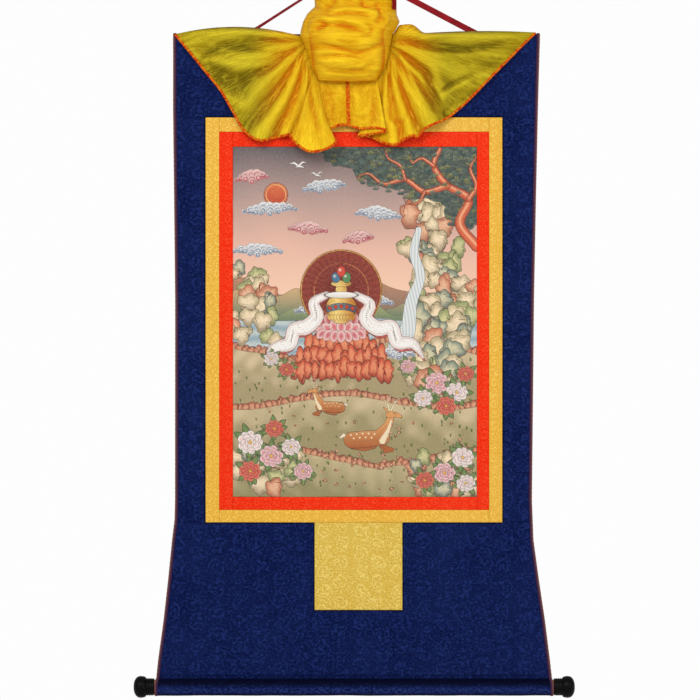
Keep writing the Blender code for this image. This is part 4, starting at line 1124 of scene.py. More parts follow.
def bunchFront(columns, neckShares):
    # each column goes from its place in the neck to its own at the foot, over the belly with its pleats and
    # creases
    height = bunchHeights(columns[:, 0])
    up = (height - columns[:, 0]) / (veil["neck"][0] - columns[:, 0])
    share = columns[:, 1] + (neckShares - columns[:, 1]) * up ** veil["columnSpread"]
    across, forward = belly(height, share)
    count, rise, top, low = veil["neckPleats"]
    fade = np.clip((top - height) / 6, 0, 1) * np.clip((height - low) / (top - low), 0, 1)
    pleats = rise * np.sin(2 * pi * count * share + 2.5 * np.sin(6 * share))
    raised = creased(across, height, bunchCreases) + pleats * fade
    # the rise is outward: partly sideways towards the bunch's sides
    turn = pi * share
    across = across - raised * 0.5 * np.cos(turn)
    forward = forward + raised * np.clip(np.sin(turn), 0, 1) ** 0.5
    return np.stack([across, forward, height], axis=-1)


def tuckRows(border, root):
    # the turn under the bunch's edge: in, and back out one layer further behind
    towards = np.array(veil["tuckTowards"]) - border[:, [0, 2]]
    towards /= np.linalg.norm(towards, axis=1)[:, None]
    depth = veil["tuck"][0] + (veil["tuck"][1] - veil["tuck"][0]) * root
    rows = []
    for inward, layer in ((0.0, 0.5), (0.0, 1), (0.55, 1.1), (1.0, 1.25), (1.0, 1.6), (1.0, 2)):
        row = border.copy()
        row[:, 0] += towards[:, 0] * depth * inward
        row[:, 2] += towards[:, 1] * depth * inward
        row[:, 1] -= veil["tuckLayer"] * layer
        rows.append(row)
    rows[-1][:, 1] = np.minimum(rows[-1][:, 1], veil["fanForward"])
    rows[-2][:, 1] = np.minimum(rows[-2][:, 1], veil["fanForward"] + 0.6)
    return np.array(rows)


def hemLength(columns):
    # how far along the free edge each column ends
    return np.cumsum(np.hypot(*np.gradient(columns[:, 3:5], axis=0).T))


def fanRows(start, columns):
    # folds on their way to the free edge: straight lines that open out early and bow where told
    down = (np.arange(1, veil["fanSteps"] + 1) / veil["fanSteps"])[:, None]
    opened = down ** (veil["foldSpread"] + veil["lateSpread"] * columns[:, 8])
    across = start[:, 0] + (columns[:, 3] - start[:, 0]) * down ** (1 + columns[:, 8])
    height = start[:, 2] + (columns[:, 4] - start[:, 2]) * down + columns[:, 6] * 4 * down * (1 - down)
    forward = start[:, 1] + (columns[:, 5] - start[:, 1]) * opened + columns[:, 7] * np.sin(pi * opened)
    root = columns[:, 2]
    tuftAt, tuftWide, tuftRise = veil["tuft"]
    tuftShare = np.exp(-(((across - tuftAt) / tuftWide) ** 4)) * np.exp(-root / 0.04)
    height = height + tuftRise * tuftShare * np.clip(down / 0.05, 0, 1)
    nibAt, nibWide, nibRise = veil["nib"]
    height = height - nibRise * np.exp(-(((across - nibAt) / nibWide) ** 2)) * down**14
    # creases grow in over the first steps, so that the folds stay joined to the tuck
    grown = np.clip(down / 0.12, 0, 1)
    forward = forward + grown * creased(across, height, fanCreases)
    turns, pleatRise, pleatReach = veil["gatherPleats"]
    for gatherX, gatherZ in veil["gathers"]:
        far = np.hypot(across - gatherX, height - gatherZ)
        angle = np.arctan2(height - gatherZ, across - gatherX)
        pleat = np.sin(turns * angle + 2.0 * np.sin(5 * angle) + far / 30)
        forward = forward + grown * pleatRise * pleat * np.exp(-((far / pleatReach) ** 2))
    rise, pitch, reach = veil["frill"]
    far = hemLength(columns)
    short = np.linalg.norm(columns[:, 3:5] - start[:, [0, 2]], axis=1)
    frill = rise * np.sin(2 * pi * far / pitch + 1.7 * np.sin(far / 31))
    forward = forward + frill * np.exp(-(1 - down) * short / reach)
    lowest = wave(across, height) + veil["lying"]
    soft = veil["lyingSoftness"]
    lying = lowest + soft * np.logaddexp(0, (forward - lowest) / soft)
    forward = forward + (lying - forward) * grown
    return np.stack([across, forward, height], axis=-1)


def backShares():
    # even shares of the way round the bunch's back, from 1 towards 0 with both ends left out
    return 1 - np.arange(1, veil["backColumns"] + 1) / (veil["backColumns"] + 1)


def backRows():
    # the bunch's back: half an ellipse from side to side at every height
    shares = backShares()
    height = bunchHeights(veil["backFoot"])
    left, right, side, back = (lookup(veil["bunch"], column, height) for column in (1, 2, 4, 5))
    across = (left + right) / 2 - (right - left) / 2 * np.cos(pi * shares)
    forward = side + (back - side) * np.sin(pi * shares) ** veil["backRoundness"]
    return np.stack([across, forward, height + 0 * across], axis=-1)


def headRows(neckShares):
    # ruffled rings above the tie, of the head's half widths and half depths
    turn = np.concatenate([pi * neckShares, 2 * pi - pi * backShares()])
    rows = smoothRows(veil["head"], 4)[:, :, None]
    ruffle = 1 + 0.05 * np.sin(9 * turn + 1) + 0.03 * np.sin(17 * turn)
    across = -rows[:, 1] * np.cos(turn) * ruffle
    forward = veil["headForward"] + rows[:, 2] * np.sin(turn) * ruffle
    return np.stack([across, forward, rows[:, 0] + 0 * turn], axis=-1)


def veilFaces(ringRows, around, lowerRows, count, slit):
    # quads between the closed rings, a fan of triangles up to the crown, and quads below with the slit open
    rings = np.arange(ringRows * around).reshape(-1, around)
    faces = quadsOf(closedRows(rings)).reshape(-1, 4).tolist()
    crown = rings.size + lowerRows * count
    faces += [(crown, column, (column + 1) % around) for column in range(around)]
    lower = rings.size + np.arange(lowerRows * count).reshape(-1, count)
    quads = quadsOf(np.concatenate([rings[-1:, :count], lower]))
    return faces + quads[:, np.arange(count - 1) != slit].reshape(-1, 4).tolist()


def fanTint(fan):
    # the folds' painted shade and highlight, olive towards the wings, and the listed painted shadows
    start, over, least = veil["olive"]
    outward = np.clip((np.abs(fan[..., 0] - veil["middle"]) - start) / over, 0, 1)
    flat = least + (1 - least) * outward * outward * (3 - 2 * outward)
    tint = foldShadeTint(fan[..., 0], fan[..., 1], flat)
    for crossAt, heightAt, halfLength, halfWidth, turned, share in veil["shadows"]:
        apart = (fan[..., 0] - crossAt) + 1j * (fan[..., 2] - heightAt)
        apart = apart * np.exp(-1j * radians(turned))
        shadow = share * np.exp(-(np.hypot(apart.real / halfLength, apart.imag / halfWidth) ** 4))
        tint[..., 0] = np.maximum(tint[..., 0], shadow)
        tint[..., 2] *= 1 - shadow
    return tint


def veilPiece():
    # one sheet: closed rings for the head and the bunch, open rows below, and the slit left open
    left, right = veilColumns()
    columns = np.concatenate([left, right])
    count, slit = len(columns), len(left) - 1
    neckShares = np.arange(count) / (count - 1)
    front = bunchFront(columns, neckShares)
    tucks = tuckRows(front[-1], columns[:, 2])
    fan = fanRows(tucks[-1], columns)
    rings = np.concatenate([headRows(neckShares)[::-1], np.concatenate([front, backRows()], axis=1)])
    lower = np.concatenate([tucks, fan])
    crown = [[0.0, veil["headForward"], veil["head"][-1][0] + veil["headCrown"]]]
    points = np.concatenate([rings.reshape(-1, 3), lower.reshape(-1, 3), crown])
    lowerAt = rings.shape[0] * rings.shape[1]
    fanAt, fanEnd = lowerAt + len(tucks) * count, len(points) - 1
    # on the fan, across the folds by the free edge's length and along them by the steps down
    uv = points[:, [2, 0]] * mm
    steps = np.linspace(*veil["fanPattern"], len(fan))[:, None]
    uv[fanAt:fanEnd] = pattern(hemLength(columns), steps).reshape(-1, 2)
    faces = veilFaces(*rings.shape[:2], len(lower), count, slit)
    piece = meshPiece("veilSheet", placed(points), faces, uv, finishes["silk"])
    bunchTint = np.zeros((*rings.shape[:2], 4))
    bunchTint[-len(front):, :count] = foldShadeTint(front[..., 0], front[..., 1], 0.0)
    tint = np.zeros((len(points), 4))
    tint[:lowerAt] = bunchTint.reshape(-1, 4)
    # painted amber shade in the tuck under the bunch
    tint[lowerAt:fanAt, 0] = veil["tuckShade"]
    tint[fanAt:fanEnd] = fanTint(fan).reshape(-1, 4)
    tintPoints(piece, "folds", tint)
    thicken(piece, veil["thick"])
    settle(piece, ["veil"])
    return piece, fan, slit


veilSheet, fan, slit = veilPiece()
print("veil made:", len(veilSheet.data.vertices), "points")

# wide and deep are the oval's half sizes; it swells by the ripple's share at every stitch, and shrinks to
# the ends' share at both ends
overlock = {"wide": 1.7, "deep": 0.95, "stitch": 2.6, "ripple": 0.28, "ends": 0.3}


def overlockPiece(name, path):
    # thread wrapped round the free edge: an oval carried along it that swells at every stitch
    far = farAlong(path)
    places = np.arange(0, far[-1], overlock["stitch"] / 4)
    path = np.stack([np.interp(places, far, path[:, i]) for i in range(3)], axis=1)
    along = unit(np.gradient(path, axis=0))
    sideways = unit(np.cross(along, viewer))
    out = np.cross(sideways, along)
    turn = np.linspace(0, 2 * pi, 11)[:-1]
    swell = 1 + overlock["ripple"] * np.sin(2 * pi * places / overlock["stitch"])
    swell[[0, -1]] = overlock["ends"]
    ring = (sideways[:, None] * (overlock["wide"] * np.cos(turn))[:, None]
            + out[:, None] * (overlock["deep"] * np.sin(turn))[:, None])
    rings = path[:, None] + ring * swell[:, None, None]
    piece = meshPiece(name, placed(rings), sweptFaces(*rings.shape[:2]), pattern(places[:, None], turn),
                      finishes["thread"])
    return settle(piece)


leftHem = np.concatenate([fan[-1, :slit + 1], fan[::-1, slit]])
rightHem = np.concatenate([fan[:, slit + 1], fan[-1, slit + 1:]])
trims = [overlockPiece("overlockLeft", leftHem), overlockPiece("overlockRight", rightHem)]
print("overlock made")

tie = {
    "height": -12.0, "half": (15.2, 13.3), "forward": 2.9, "squareness": 3.0, "from": -20, "to": 305,
    "width": 7.5, "thick": 0.9, "clear": 2.2,
    # height, share across the belly of the free end
    "tail": [(-22.0, 0.770), (-29.0, 0.800), (-40.0, 0.835), (-52.0, 0.855), (-62.0, 0.865), (-70.0, 0.860)],
}


def bellyAndNormal(height, share):
    # a place on the belly at a share of its width, and the way out of it
    def spotAt(atHeight, atShare):
        across, forward = belly(atHeight, atShare)
        return np.array([float(across), float(forward), atHeight])

    spot = spotAt(height, share)
    normal = np.cross(spotAt(height, share + 0.01) - spot, spotAt(height - 1, share) - spot)
    normal /= np.linalg.norm(normal)
    return spot, normal if normal[1] > 0 else -normal


def tiePiece():
    # round the neck in a rounded square, then down over the belly as one free end
    turn = np.radians(np.linspace(tie["from"], tie["to"], 31))
    power = 2 / tie["squareness"]
    across = tie["half"][0] * np.sign(np.cos(turn)) * np.abs(np.cos(turn)) ** power
    behind = tie["half"][1] * np.sign(np.sin(turn)) * np.abs(np.sin(turn)) ** power
    rows = np.stack([across, tie["forward"] - behind, np.full_like(turn, tie["height"]),
                     np.cos(turn), -np.sin(turn), 0 * turn], axis=1).tolist()
    for height, share in tie["tail"]:
        spot, normal = bellyAndNormal(height, share)
        rows.append([*(spot + normal * tie["clear"]), *normal])
    rows = smoothRows(rows, 4)
    tapeBand("veilTie", rows[:, :3], rows[:, 3:], tie, "veil_tie")


tiePiece()

# The picture cloth: a plain landscape with a vase of jewels before a disc, laid on in a painter's layers.

canvas = {
    "front": 0.1, "thick": 1.0, "columns": 250, "rows": 360, "backStep": 12, "rim": 0.5,
    "reach": 1.9,  # how far from a painted edge its distance is kept, a grid step and a half
    "line": 0.42,  # half the width of a drawn line
    "half": 175,   # half the width of a layer that runs right across
    "backing": (226, 214, 190),
}
middle = (picture["left"] + picture["right"]) / 2
foot = picture["bottom"]


def startArt():
    # u is measured from the picture's middle and v from its foot, both in millimetres; inner and outer are
    # the colours on the two sides of the nearest painted edge, and edge is the distance inside it
    hidden = np.array(mount["hidden"])
    across = np.linspace(picture["left"] + inside, picture["right"] - inside, canvas["columns"])
    across = np.concatenate([across[0] - hidden, across, across[-1] + hidden[::-1]])
    height = np.linspace(picture["top"] - inside, picture["bottom"] + inside, canvas["rows"])
    height = np.concatenate([height[0] + hidden, height, height[-1] - hidden[::-1]])
    x, z = np.meshgrid(across, height)
    tones = {side: np.zeros((*x.shape, 4)) for side in ("inner", "outer")}
    return {"u": x - middle, "v": z - foot, "edge": np.full(x.shape, canvas["reach"]), **tones}


def patch(art, u, v, size, tall=None):
    # the part of the picture round a place: views, so that painting there paints the picture, and empty ones
    # where the place is off it
    tall = size if tall is None else tall
    rows = np.flatnonzero(np.abs(art["v"][:, 0] - v) <= tall + canvas["reach"])
    columns = np.flatnonzero(np.abs(art["u"][0] - u) <= size + canvas["reach"])
    area = tuple(slice(found[0], found[-1] + 1) if len(found) else slice(0) for found in (rows, columns))
    return {name: values[area] for name, values in art.items()}


def shade(colour, *more):
    # a colour, or a blend from the first to the second by a share from 0 to 1
    first = np.array(paint(*colour))
    if not more:
        return first
    second, share = np.array(paint(*more[0])), np.clip(np.asarray(more[1], float), 0, 1)[..., None]
    return first + (second - first) * share


def lay(spot, distance, tone, ink=0.8):
    # Puts a shape on the picture. Its distance is positive inside. Well inside it is only the new colour;
    # near its rim both colours and the distance are kept, and outside an older edge stays if it is nearer.
    reach = canvas["reach"]
    tone = np.broadcast_to(tone, (*distance.shape, 4)).copy()
    tone[..., 3] = ink
    seen = np.where((spot["edge"] > 0)[..., None], spot["inner"], spot["outer"])
    deep = distance >= reach
    rim = (np.abs(distance) < reach) & ((distance > 0) | (np.abs(spot["edge"]) >= -distance))
    for side in ("inner", "outer"):
        spot[side][deep] = tone[deep]
    spot["edge"][deep] = reach
    spot["inner"][rim] = tone[rim]
    spot["outer"][rim] = seen[rim]
    spot["edge"][rim] = distance[rim]


def disc(spot, u, v, wide, tall=None, turn=0.0):
    # the distance inside an oval, in millimetres near its rim
    tall = wide if tall is None else tall
    du, dv = spot["u"] - u, spot["v"] - v
    a, b = du * np.cos(turn) + dv * np.sin(turn), -du * np.sin(turn) + dv * np.cos(turn)
    return (1 - np.hypot(a / wide, b / tall)) * min(wide, tall)


def stroke(spot, points):
    # a tapered line through (u, v, half width) rows
    points = np.array(points, float)
    best = np.full(spot["u"].shape, -1e3)
    for (u0, v0, w0), (u1, v1, w1) in zip(points[:-1], points[1:]):
        du, dv = u1 - u0, v1 - v0
        fu, fv = spot["u"] - u0, spot["v"] - v0
        t = np.clip((fu * du + fv * dv) / (du * du + dv * dv + 1e-9), 0, 1)
        best = np.maximum(best, w0 + (w1 - w0) * t - np.hypot(fu - du * t, fv - dv * t))
    return best


def leafShape(spot, u, v, length, wide, turn):
    # pointed at both ends: where two circles overlap, from its foot at u, v
    radius = (length**2 / 4 + wide**2) / (2 * wide)
    cu, cv = u + np.cos(turn) * length / 2, v + np.sin(turn) * length / 2
    du, dv = spot["u"] - cu, spot["v"] - cv
    beside = -du * np.sin(turn) + dv * np.cos(turn)
    along = du * np.cos(turn) + dv * np.sin(turn)
    return radius - np.hypot(along, np.abs(beside) + radius - wide)


def skyline(line, u):
    # the height at u of a smooth line through (u, v) points
    return np.interp(u, *smoothRows(line, 8).T)


def hill(art, line, tone, ink=0.8):
    # everything below such a line
    top = skyline(line, art["u"][0])
    slope = np.gradient(top, art["u"][0])
    lay(art, (top - art["v"]) / np.sqrt(1 + slope**2), tone, ink)


def draw(spot, points, colour, ink=0.0):
    # a tapered line in one colour
    lay(spot, stroke(spot, points), shade(colour), ink)


def cloud(art, u, v, long, random, tones, lift=0.0):
    # a drift of scallops: a tail, then rows of curls laid one before the other, each with a curl line in it
    for layer in range(3):
        for step in np.linspace(-1, 1, int(5 + long / 7) - layer * 2):
            size = (5.6 - 1.2 * layer) * (1.25 - 0.7 * step**2) * random.uniform(0.85, 1.15)
            cu = u + step * long * (1 - 0.16 * layer)
            cv = v + lift * step * long + (1 - layer) * 3.6 * (1 - step**2) + random.uniform(-1, 1)
            spot = patch(art, cu, cv, size)
            d = disc(spot, cu, cv, size)
            lay(spot, d, shade(tones[0], tones[1], (spot["v"] - cv) / size * 0.5 + 0.55), 0.55)
            lay(spot, 0.7 - np.abs(disc(spot, cu + 0.3, cv - 0.5, size * 0.5)), shade(tones[2]), 0.0)


def rock(art, u, v, size, tall, random, tones):
    # a lobed boulder: cream face, a coloured rim and a few drawn cracks
    spot = patch(art, u, v, size * 1.25, tall * 1.25)
    if not spot["u"].size:
        return
    turn = np.arctan2(spot["v"] - v, spot["u"] - u)
    lobes = 1
    for count, rise in ((3, 0.10), (5, 0.09), (9, 0.05)):
        lobes = lobes + rise * np.sin(count * turn + random.uniform(0, 6))
    d = (lobes - np.hypot((spot["u"] - u) / size, (spot["v"] - v) / tall)) * min(size, tall)
    face = shade(tones[1], tones[0], d / (0.55 * min(size, tall)) - 0.1)
    face = face + (shade(tones[2]) - face) * np.clip((v - spot["v"]) / tall * 0.7, 0, 0.6)[..., None]
    lay(spot, d, face, 0.95)
    for _ in range(3):
        a = random.uniform(0, 2 * pi)
        b = a + random.uniform(0.5, 1.1)
        points = [(u + size * r * np.cos(t), v + tall * r * np.sin(t), w)
                  for r, t, w in ((0.92, a, 0.5), (0.62, (a + b) / 2, 0.45), (0.5, b, 0.2))]
        line = stroke(spot, points)
        lay(spot, np.minimum(line, d), shade(tones[3]), 0.0)


def peony(art, u, v, size, random, tones):
    # leaves, then three rings of petals with pale rims, and a seeded heart
    for step in range(7):
        turn = step * 2 * pi / 7 + random.uniform(-0.3, 0.3)
        long = size * random.uniform(1.5, 1.9)
        tipU, tipV = np.cos(turn) * long, np.sin(turn) * long
        spot = patch(art, u + tipU / 2, v + tipV / 2, long * 0.8)
        leaf = leafShape(spot, u, v, long, size * 0.34, turn)
        lay(spot, leaf, shade((62, 104, 62), (122, 150, 84), leaf / (size * 0.3)), 0.9)
        draw(spot, [(u, v, 0.3), (u + tipU * 0.9, v + tipV * 0.9, 0.15)], (178, 190, 120))
    for ring, (count, reach, petal) in enumerate(((9, 0.72, 0.42), (7, 0.45, 0.36), (5, 0.2, 0.27))):
        for step in range(count):
            turn = (step + 0.5 * (ring % 2)) * 2 * pi / count + random.uniform(-0.12, 0.12)
            petalU, petalV = u + np.cos(turn) * reach * size, v + np.sin(turn) * reach * size * 0.86
            spot = patch(art, petalU, petalV, petal * size)
            d = disc(spot, petalU, petalV, petal * size, petal * size * 0.85, turn)
            lay(spot, d, shade(tones[0], tones[1], d / (petal * size) * 1.2), 0.7)
    spot = patch(art, u, v, size * 0.16)
    lay(spot, disc(spot, u, v, size * 0.15), shade((226, 178, 70)), 0.5)


def foliage(art, area, count, random, tones):
    # small round leaves in clumps, the far ones first, each darker below
    left, right, low, high = area
    places = np.column_stack([random.uniform(left, right, count), random.uniform(low, high, count)])
    for u, v in places[np.argsort(-places[:, 1])]:
        tone = tones[random.integers(len(tones))]
        for step in range(4):
            turn = pi * (0.15 + 0.24 * step) + random.uniform(-0.1, 0.1)
            long = random.uniform(4.2, 6.4)
            spot = patch(art, u + np.cos(turn) * long / 2, v + np.sin(turn) * long / 2, long * 0.7)
            leaf = leafShape(spot, u, v, long, 1.15, turn)
            lay(spot, leaf, shade(tone[0], tone[1], (spot["v"] - v) / long), 0.6)


def branch(art, points, tones):
    # a coral limb: drawn in ink, with a pale ridge along it
    points = smoothRows(points, 6)
    low, high = points[:, :2].min(0), points[:, :2].max(0)
    spot = patch(art, *(low + high) / 2, *(high - low) / 2 + 8)
    limb = stroke(spot, points)
    lay(spot, limb, shade(tones[0], tones[1], limb / 3.4), 0.95)
    ridge = points * [1, 1, 0.24]
    ridge[:, 1] += points[:, 2] * 0.25
    draw(spot, ridge, tones[2])


# 8-bit colours: clouds have a shade, a face and a curl, rocks a face, a shade, a foot and a crack, leaves a
# shade and a face, coral an edge, a face and a ridge, and petals a rim and a middle
palette = {
    "white": ((176, 188, 202), (246, 246, 244), (120, 132, 152)),
    "rose": ((214, 130, 134), (248, 212, 206), (176, 84, 92)),
    "earth": ((222, 160, 124), (174, 88, 68), (130, 64, 54), (92, 44, 36)),
    "rust": ((240, 186, 150), (196, 116, 86), (146, 92, 76), (92, 46, 38)),
    "cream": ((250, 226, 188), (190, 174, 134), (150, 130, 108), (84, 62, 50)),
    "teal": ((214, 206, 170), (116, 136, 122), (92, 98, 100), (52, 52, 54)),
    "green": ((212, 206, 150), (146, 158, 104), (108, 118, 84), (60, 60, 42)),
    "crystal": ((238, 146, 106), (206, 74, 50), (150, 44, 38), (108, 30, 28)),
    "darkLeaf": ((62, 84, 82), (104, 128, 116)),
    "midLeaf": ((78, 100, 92), (140, 158, 132)),
    "oliveLeaf": ((96, 108, 70), (170, 172, 116)),
    "coral": ((168, 62, 42), (222, 108, 72), (244, 168, 128)),
    "pink": ((250, 220, 218), (222, 92, 116)),
    "red": ((240, 130, 110), (190, 36, 40)),
    "pale": ((252, 248, 240), (244, 186, 186)),
    "gilt": ((198, 132, 46), (250, 216, 128)),
}
rockKinds = [palette[kind] for kind in ("cream", "teal", "rust", "cream", "green", "cream")]
vaseU = -18  # the middle of the disc, the seat and the vase


def wholeWidth(count):
    # even places from one side of the cloth to the other
    return np.linspace(-canvas["half"], canvas["half"], count)


def boulder(art, u, v, wide, tall, random):
    # a rock of any kind, its half sizes between the ends of two ranges
    rock(art, u, v, random.uniform(*wide), random.uniform(*tall), random,
         rockKinds[random.integers(len(rockKinds))])


def sky(art):
    # slate above, through dusty rose to peach, then the sand of the far shore
    levels = (0, 215, 265, 330, 400, 461)
    tones = [paint(*tone) for tone in ((228, 190, 156), (236, 196, 168), (252, 208, 178), (236, 188, 168),
                                       (176, 150, 144), (104, 98, 102))]
    drift = art["v"] + 9 * softNoise(60, 120, 4, art["u"], art["v"]) * 0.5
    for channel in range(3):
        for side in ("inner", "outer"):
            art[side][..., channel] = np.interp(drift, levels, [tone[channel] for tone in tones])


def farHills(art, random):
    # three ridges, the farthest first, each paler below
    for level, rise, low, high in ((272, 20, (196, 140, 108), (150, 122, 104)),
                                   (258, 17, (214, 176, 128), (122, 138, 110)),
                                   (244, 13, (176, 178, 124), (104, 128, 100))):
        line = [(place, level + rise * random.uniform(-0.6, 1.0)) for place in wholeWidth(15)]
        hill(art, line, shade(high, low, (art["v"] - level + rise) / (2 * rise)), 0.8)


def lake(art, random):
    # striped water with a few bright ripples
    stripes = np.sin(art["v"] / 2.4 + 0.6 * np.sin(art["u"] / 16)) * 0.5 + 0.5
    shore = [(-175, 236), (-90, 232), (0, 238), (90, 230), (175, 236)]
    hill(art, shore, shade((152, 176, 186), (196, 208, 206), stripes), 0.6)
    for _ in range(34):
        u, v, long = random.uniform(-160, 160), random.uniform(176, 228), random.uniform(6, 15)
        draw(patch(art, u, v, long), [(u - long, v, 0.1), (u, v + 1, 0.55), (u + long, v, 0.1)],
             (236, 240, 236), 0.25)


def meadow(art, random):
    # three banks with scalloped earth edges
    banks = ((196, 12, (172, 156, 116), (216, 194, 156)), (128, 10, (162, 150, 108), (210, 190, 150)),
             (52, 9, (152, 144, 102), (200, 182, 140)))
    for number, (level, rise, low, high) in enumerate(banks):
        line = [(place, level + rise * np.sin(place / 47 + 1.9 * number) + random.uniform(-3, 3))
                for place in wholeWidth(13)]
        top = skyline(line, art["u"][0])
        for place in np.arange(-165, 168, 7.5):
            rock(art, place, skyline(line, place) - 1, random.uniform(5, 7.5), random.uniform(5, 8), random,
                 palette["earth"])
        mottle = 0.25 * softNoise(70 + number, 26, 5, art["u"], art["v"])
        grass = shade(low, high, (art["v"] - top + 46) / 46 + mottle)
        hill(art, [(u, v - 3.5) for u, v in line], grass, 0.5)


def tuftsAndPebbles(art, random):
    # tufts of four leaning blades, then small stones nearer the foot
    for _ in range(190):
        u, v = random.uniform(-158, 158), random.uniform(4, 188)
        for lean in (-0.5, -0.15, 0.2, 0.55):
            long = random.uniform(3.2, 5.6)
            spot = patch(art, u, v + long / 2, long)
            blade = stroke(spot, [(u, v, 0.55), (u + lean * long, v + long, 0.12)])
            lay(spot, blade, shade((64, 88, 46), (128, 140, 70), (spot["v"] - v) / long), 0.15)
    for _ in range(60):
        u, v = random.uniform(-155, 155), random.uniform(6, 120)
        rock(art, u, v, random.uniform(1.6, 3.4), random.uniform(1.2, 2.4), random, palette["rust"])


def cliff(art, random):
    # rocks on the right from the cliff's top down, and a heap of them on the left shore
    for level in np.linspace(392, 150, 19):
        half = 26 + 22 * np.sin((392 - level) / 80) ** 2
        for _ in range(5):
            boulder(art, 112 + 14 * np.sin(level / 33) + random.uniform(-half, half),
                    level + random.uniform(-7, 7), (8, 17), (9, 20), random)
    for level in np.linspace(300, 208, 9):
        for _ in range(3):
            boulder(art, -146 + random.uniform(-22, 26 + (300 - level) * 0.2),
                    level + random.uniform(-6, 6), (7, 14), (7, 15), random)


def waterfall(art, random):
    # a striped fall down the cliff, with spray at its foot
    fall = [(84, 352, 4), (78, 322, 6), (86, 290, 6.5), (74, 256, 8), (70, 222, 10), (58, 196, 15)]
    spot = patch(art, 70, 274, 40, 90)
    stripes = np.sin((spot["u"] + 0.10 * spot["v"] + 3 * np.sin(spot["v"] / 21)) * 1.5) * 0.5 + 0.5
    lay(spot, stroke(spot, smoothRows(fall, 6)), shade((190, 202, 206), (242, 242, 236), stripes), 0.9)
    cloud(art, 58, 188, 19, random, palette["white"])


def crown(art, random):
    # foliage over the top right, with coral limbs through it and more leaves before them
    dark, mid, olive = (palette[kind] for kind in ("darkLeaf", "midLeaf", "oliveLeaf"))
    for u, v, wide, tall in ((120, 432, 74, 44), (52, 440, 56, 34), (150, 384, 34, 30), (-8, 452, 34, 18)):
        spot = patch(art, u, v, wide * 1.2, tall * 1.2)
        across, up = (spot["u"] - u) / wide, (spot["v"] - v) / tall
        turn = np.arctan2(up, across)
        rim = 1 + 0.06 * np.sin(11 * turn) + 0.04 * np.sin(17 * turn + 1)
        mottle = 0.5 + 0.5 * softNoise(80, 9, 5, spot["u"], spot["v"])
        lay(spot, (rim - np.hypot(across, up)) * tall, shade((54, 74, 74), (84, 106, 98), mottle), 0.6)
        foliage(art, (u - wide * 0.82, u + wide * 0.82, v - tall * 0.9, v + tall * 0.62),
                int(wide * tall / 17), random, (dark, mid, dark, olive))
    limbs = (
        [(160, 330, 7), (138, 360, 6.5), (150, 392, 5.6), (122, 410, 5), (104, 436, 4), (112, 458, 3)],
        [(122, 410, 4.4), (92, 402, 3.8), (66, 418, 3.2), (38, 412, 2.6), (18, 426, 1.6), (2, 420, 0.6)],
        [(66, 418, 2.6), (60, 436, 2.2), (44, 446, 1.6), (40, 458, 0.8)],
        [(150, 392, 3.6), (160, 410, 3), (152, 432, 2.2), (160, 448, 1)],
        [(104, 436, 2.8), (88, 446, 2.2), (76, 440, 1.4), (72, 450, 0.6)],
        [(92, 402, 2.4), (84, 388, 1.8), (70, 386, 1.2), (64, 394, 0.5)],
    )
    for limb in limbs:
        branch(art, limb, palette["coral"])
    foliage(art, (20, 158, 398, 456), 46, random, (mid, olive, mid))


def sunAndClouds(art, random):
    # a red sun with a drawn ring, and drifts of cloud in the open sky on the left
    u, v = -104, 398
    spot = patch(art, u, v, 17)
    lay(spot, disc(spot, u, v, 16), shade((196, 74, 52), (226, 118, 74), (spot["v"] - v + 12) / 28), 0.9)
    lay(spot, 0.6 - np.abs(disc(spot, u, v, 13)), shade((240, 190, 120)), 0.0)
    for u, v, long, kind, lift in ((-112, 378, 34, "white", 0.06), (-62, 352, 24, "rose", -0.05),
                                   (-136, 420, 20, "rose", 0.1), (-40, 408, 26, "white", 0.1),
                                   (-128, 324, 30, "white", 0.0), (30, 372, 28, "white", -0.08),
                                   (4, 340, 18, "rose", 0.1)):
        cloud(art, u, v, long, random, palette[kind], lift)


def birds(art):
    # two white birds, each of two wings and a body
    parts = ([(0, 0, 1.3), (-6, 4, 1.3), (-13, 3, 0.3)], [(0, 0, 1.3), (5, 5, 1.2), (12, 5, 0.3)],
             [(-5, -2.4, 0.3), (0, 0, 1.5), (6, -1.6, 0.8), (10, -1, 0.3)])
    for u, v, size in ((-74, 436, 1.0), (-50, 424, 0.8)):
        spot = patch(art, u, v, 16)
        for part in parts:
            draw(spot, [(u + a * size, v + b * size, w * size) for a, b, w in part], (246, 244, 238), 0.7)


def discAndSeat(art, random):
    # clouds on both sides, a gilt-edged disc with rays and a ring, and a seat of red crystals under it
    v, radius = 272, 54
    cloud(art, vaseU - 34, v - 26, 26, random, palette["white"], 0.05)
    cloud(art, vaseU + 42, v - 14, 24, random, palette["white"], -0.1)
    spot = patch(art, vaseU, v, radius + 3)
    far = np.hypot(spot["u"] - vaseU, spot["v"] - v)
    rays = np.sin(np.arctan2(spot["v"] - v, spot["u"] - vaseU) * 36 + 0.5 * np.sin(far / 3))
    lay(spot, disc(spot, vaseU, v, radius), shade((226, 162, 74)), 0.95)
    glow = shade((112, 34, 34), (156, 66, 54), far / radius * 0.7 + rays * 0.2)
    lay(spot, disc(spot, vaseU, v, radius - 2.2), glow, 0.8)
    lay(spot, 0.5 - np.abs(far - radius * 0.66), shade((206, 130, 76)), 0.0)
    for row, (level, half) in enumerate(((214, 30), (200, 42), (184, 54), (168, 62))):
        for place in np.linspace(-half, half, 8 + 2 * row):
            rock(art, vaseU + place, level + random.uniform(-3, 3), random.uniform(5, 8),
                 random.uniform(11, 17), random, palette["crystal"])


def fromOutside(count):
    # places from -1 to 1, the outermost first, so that the middle one is laid over them
    return sorted(np.linspace(-1, 1, count), key=lambda step: -abs(step))


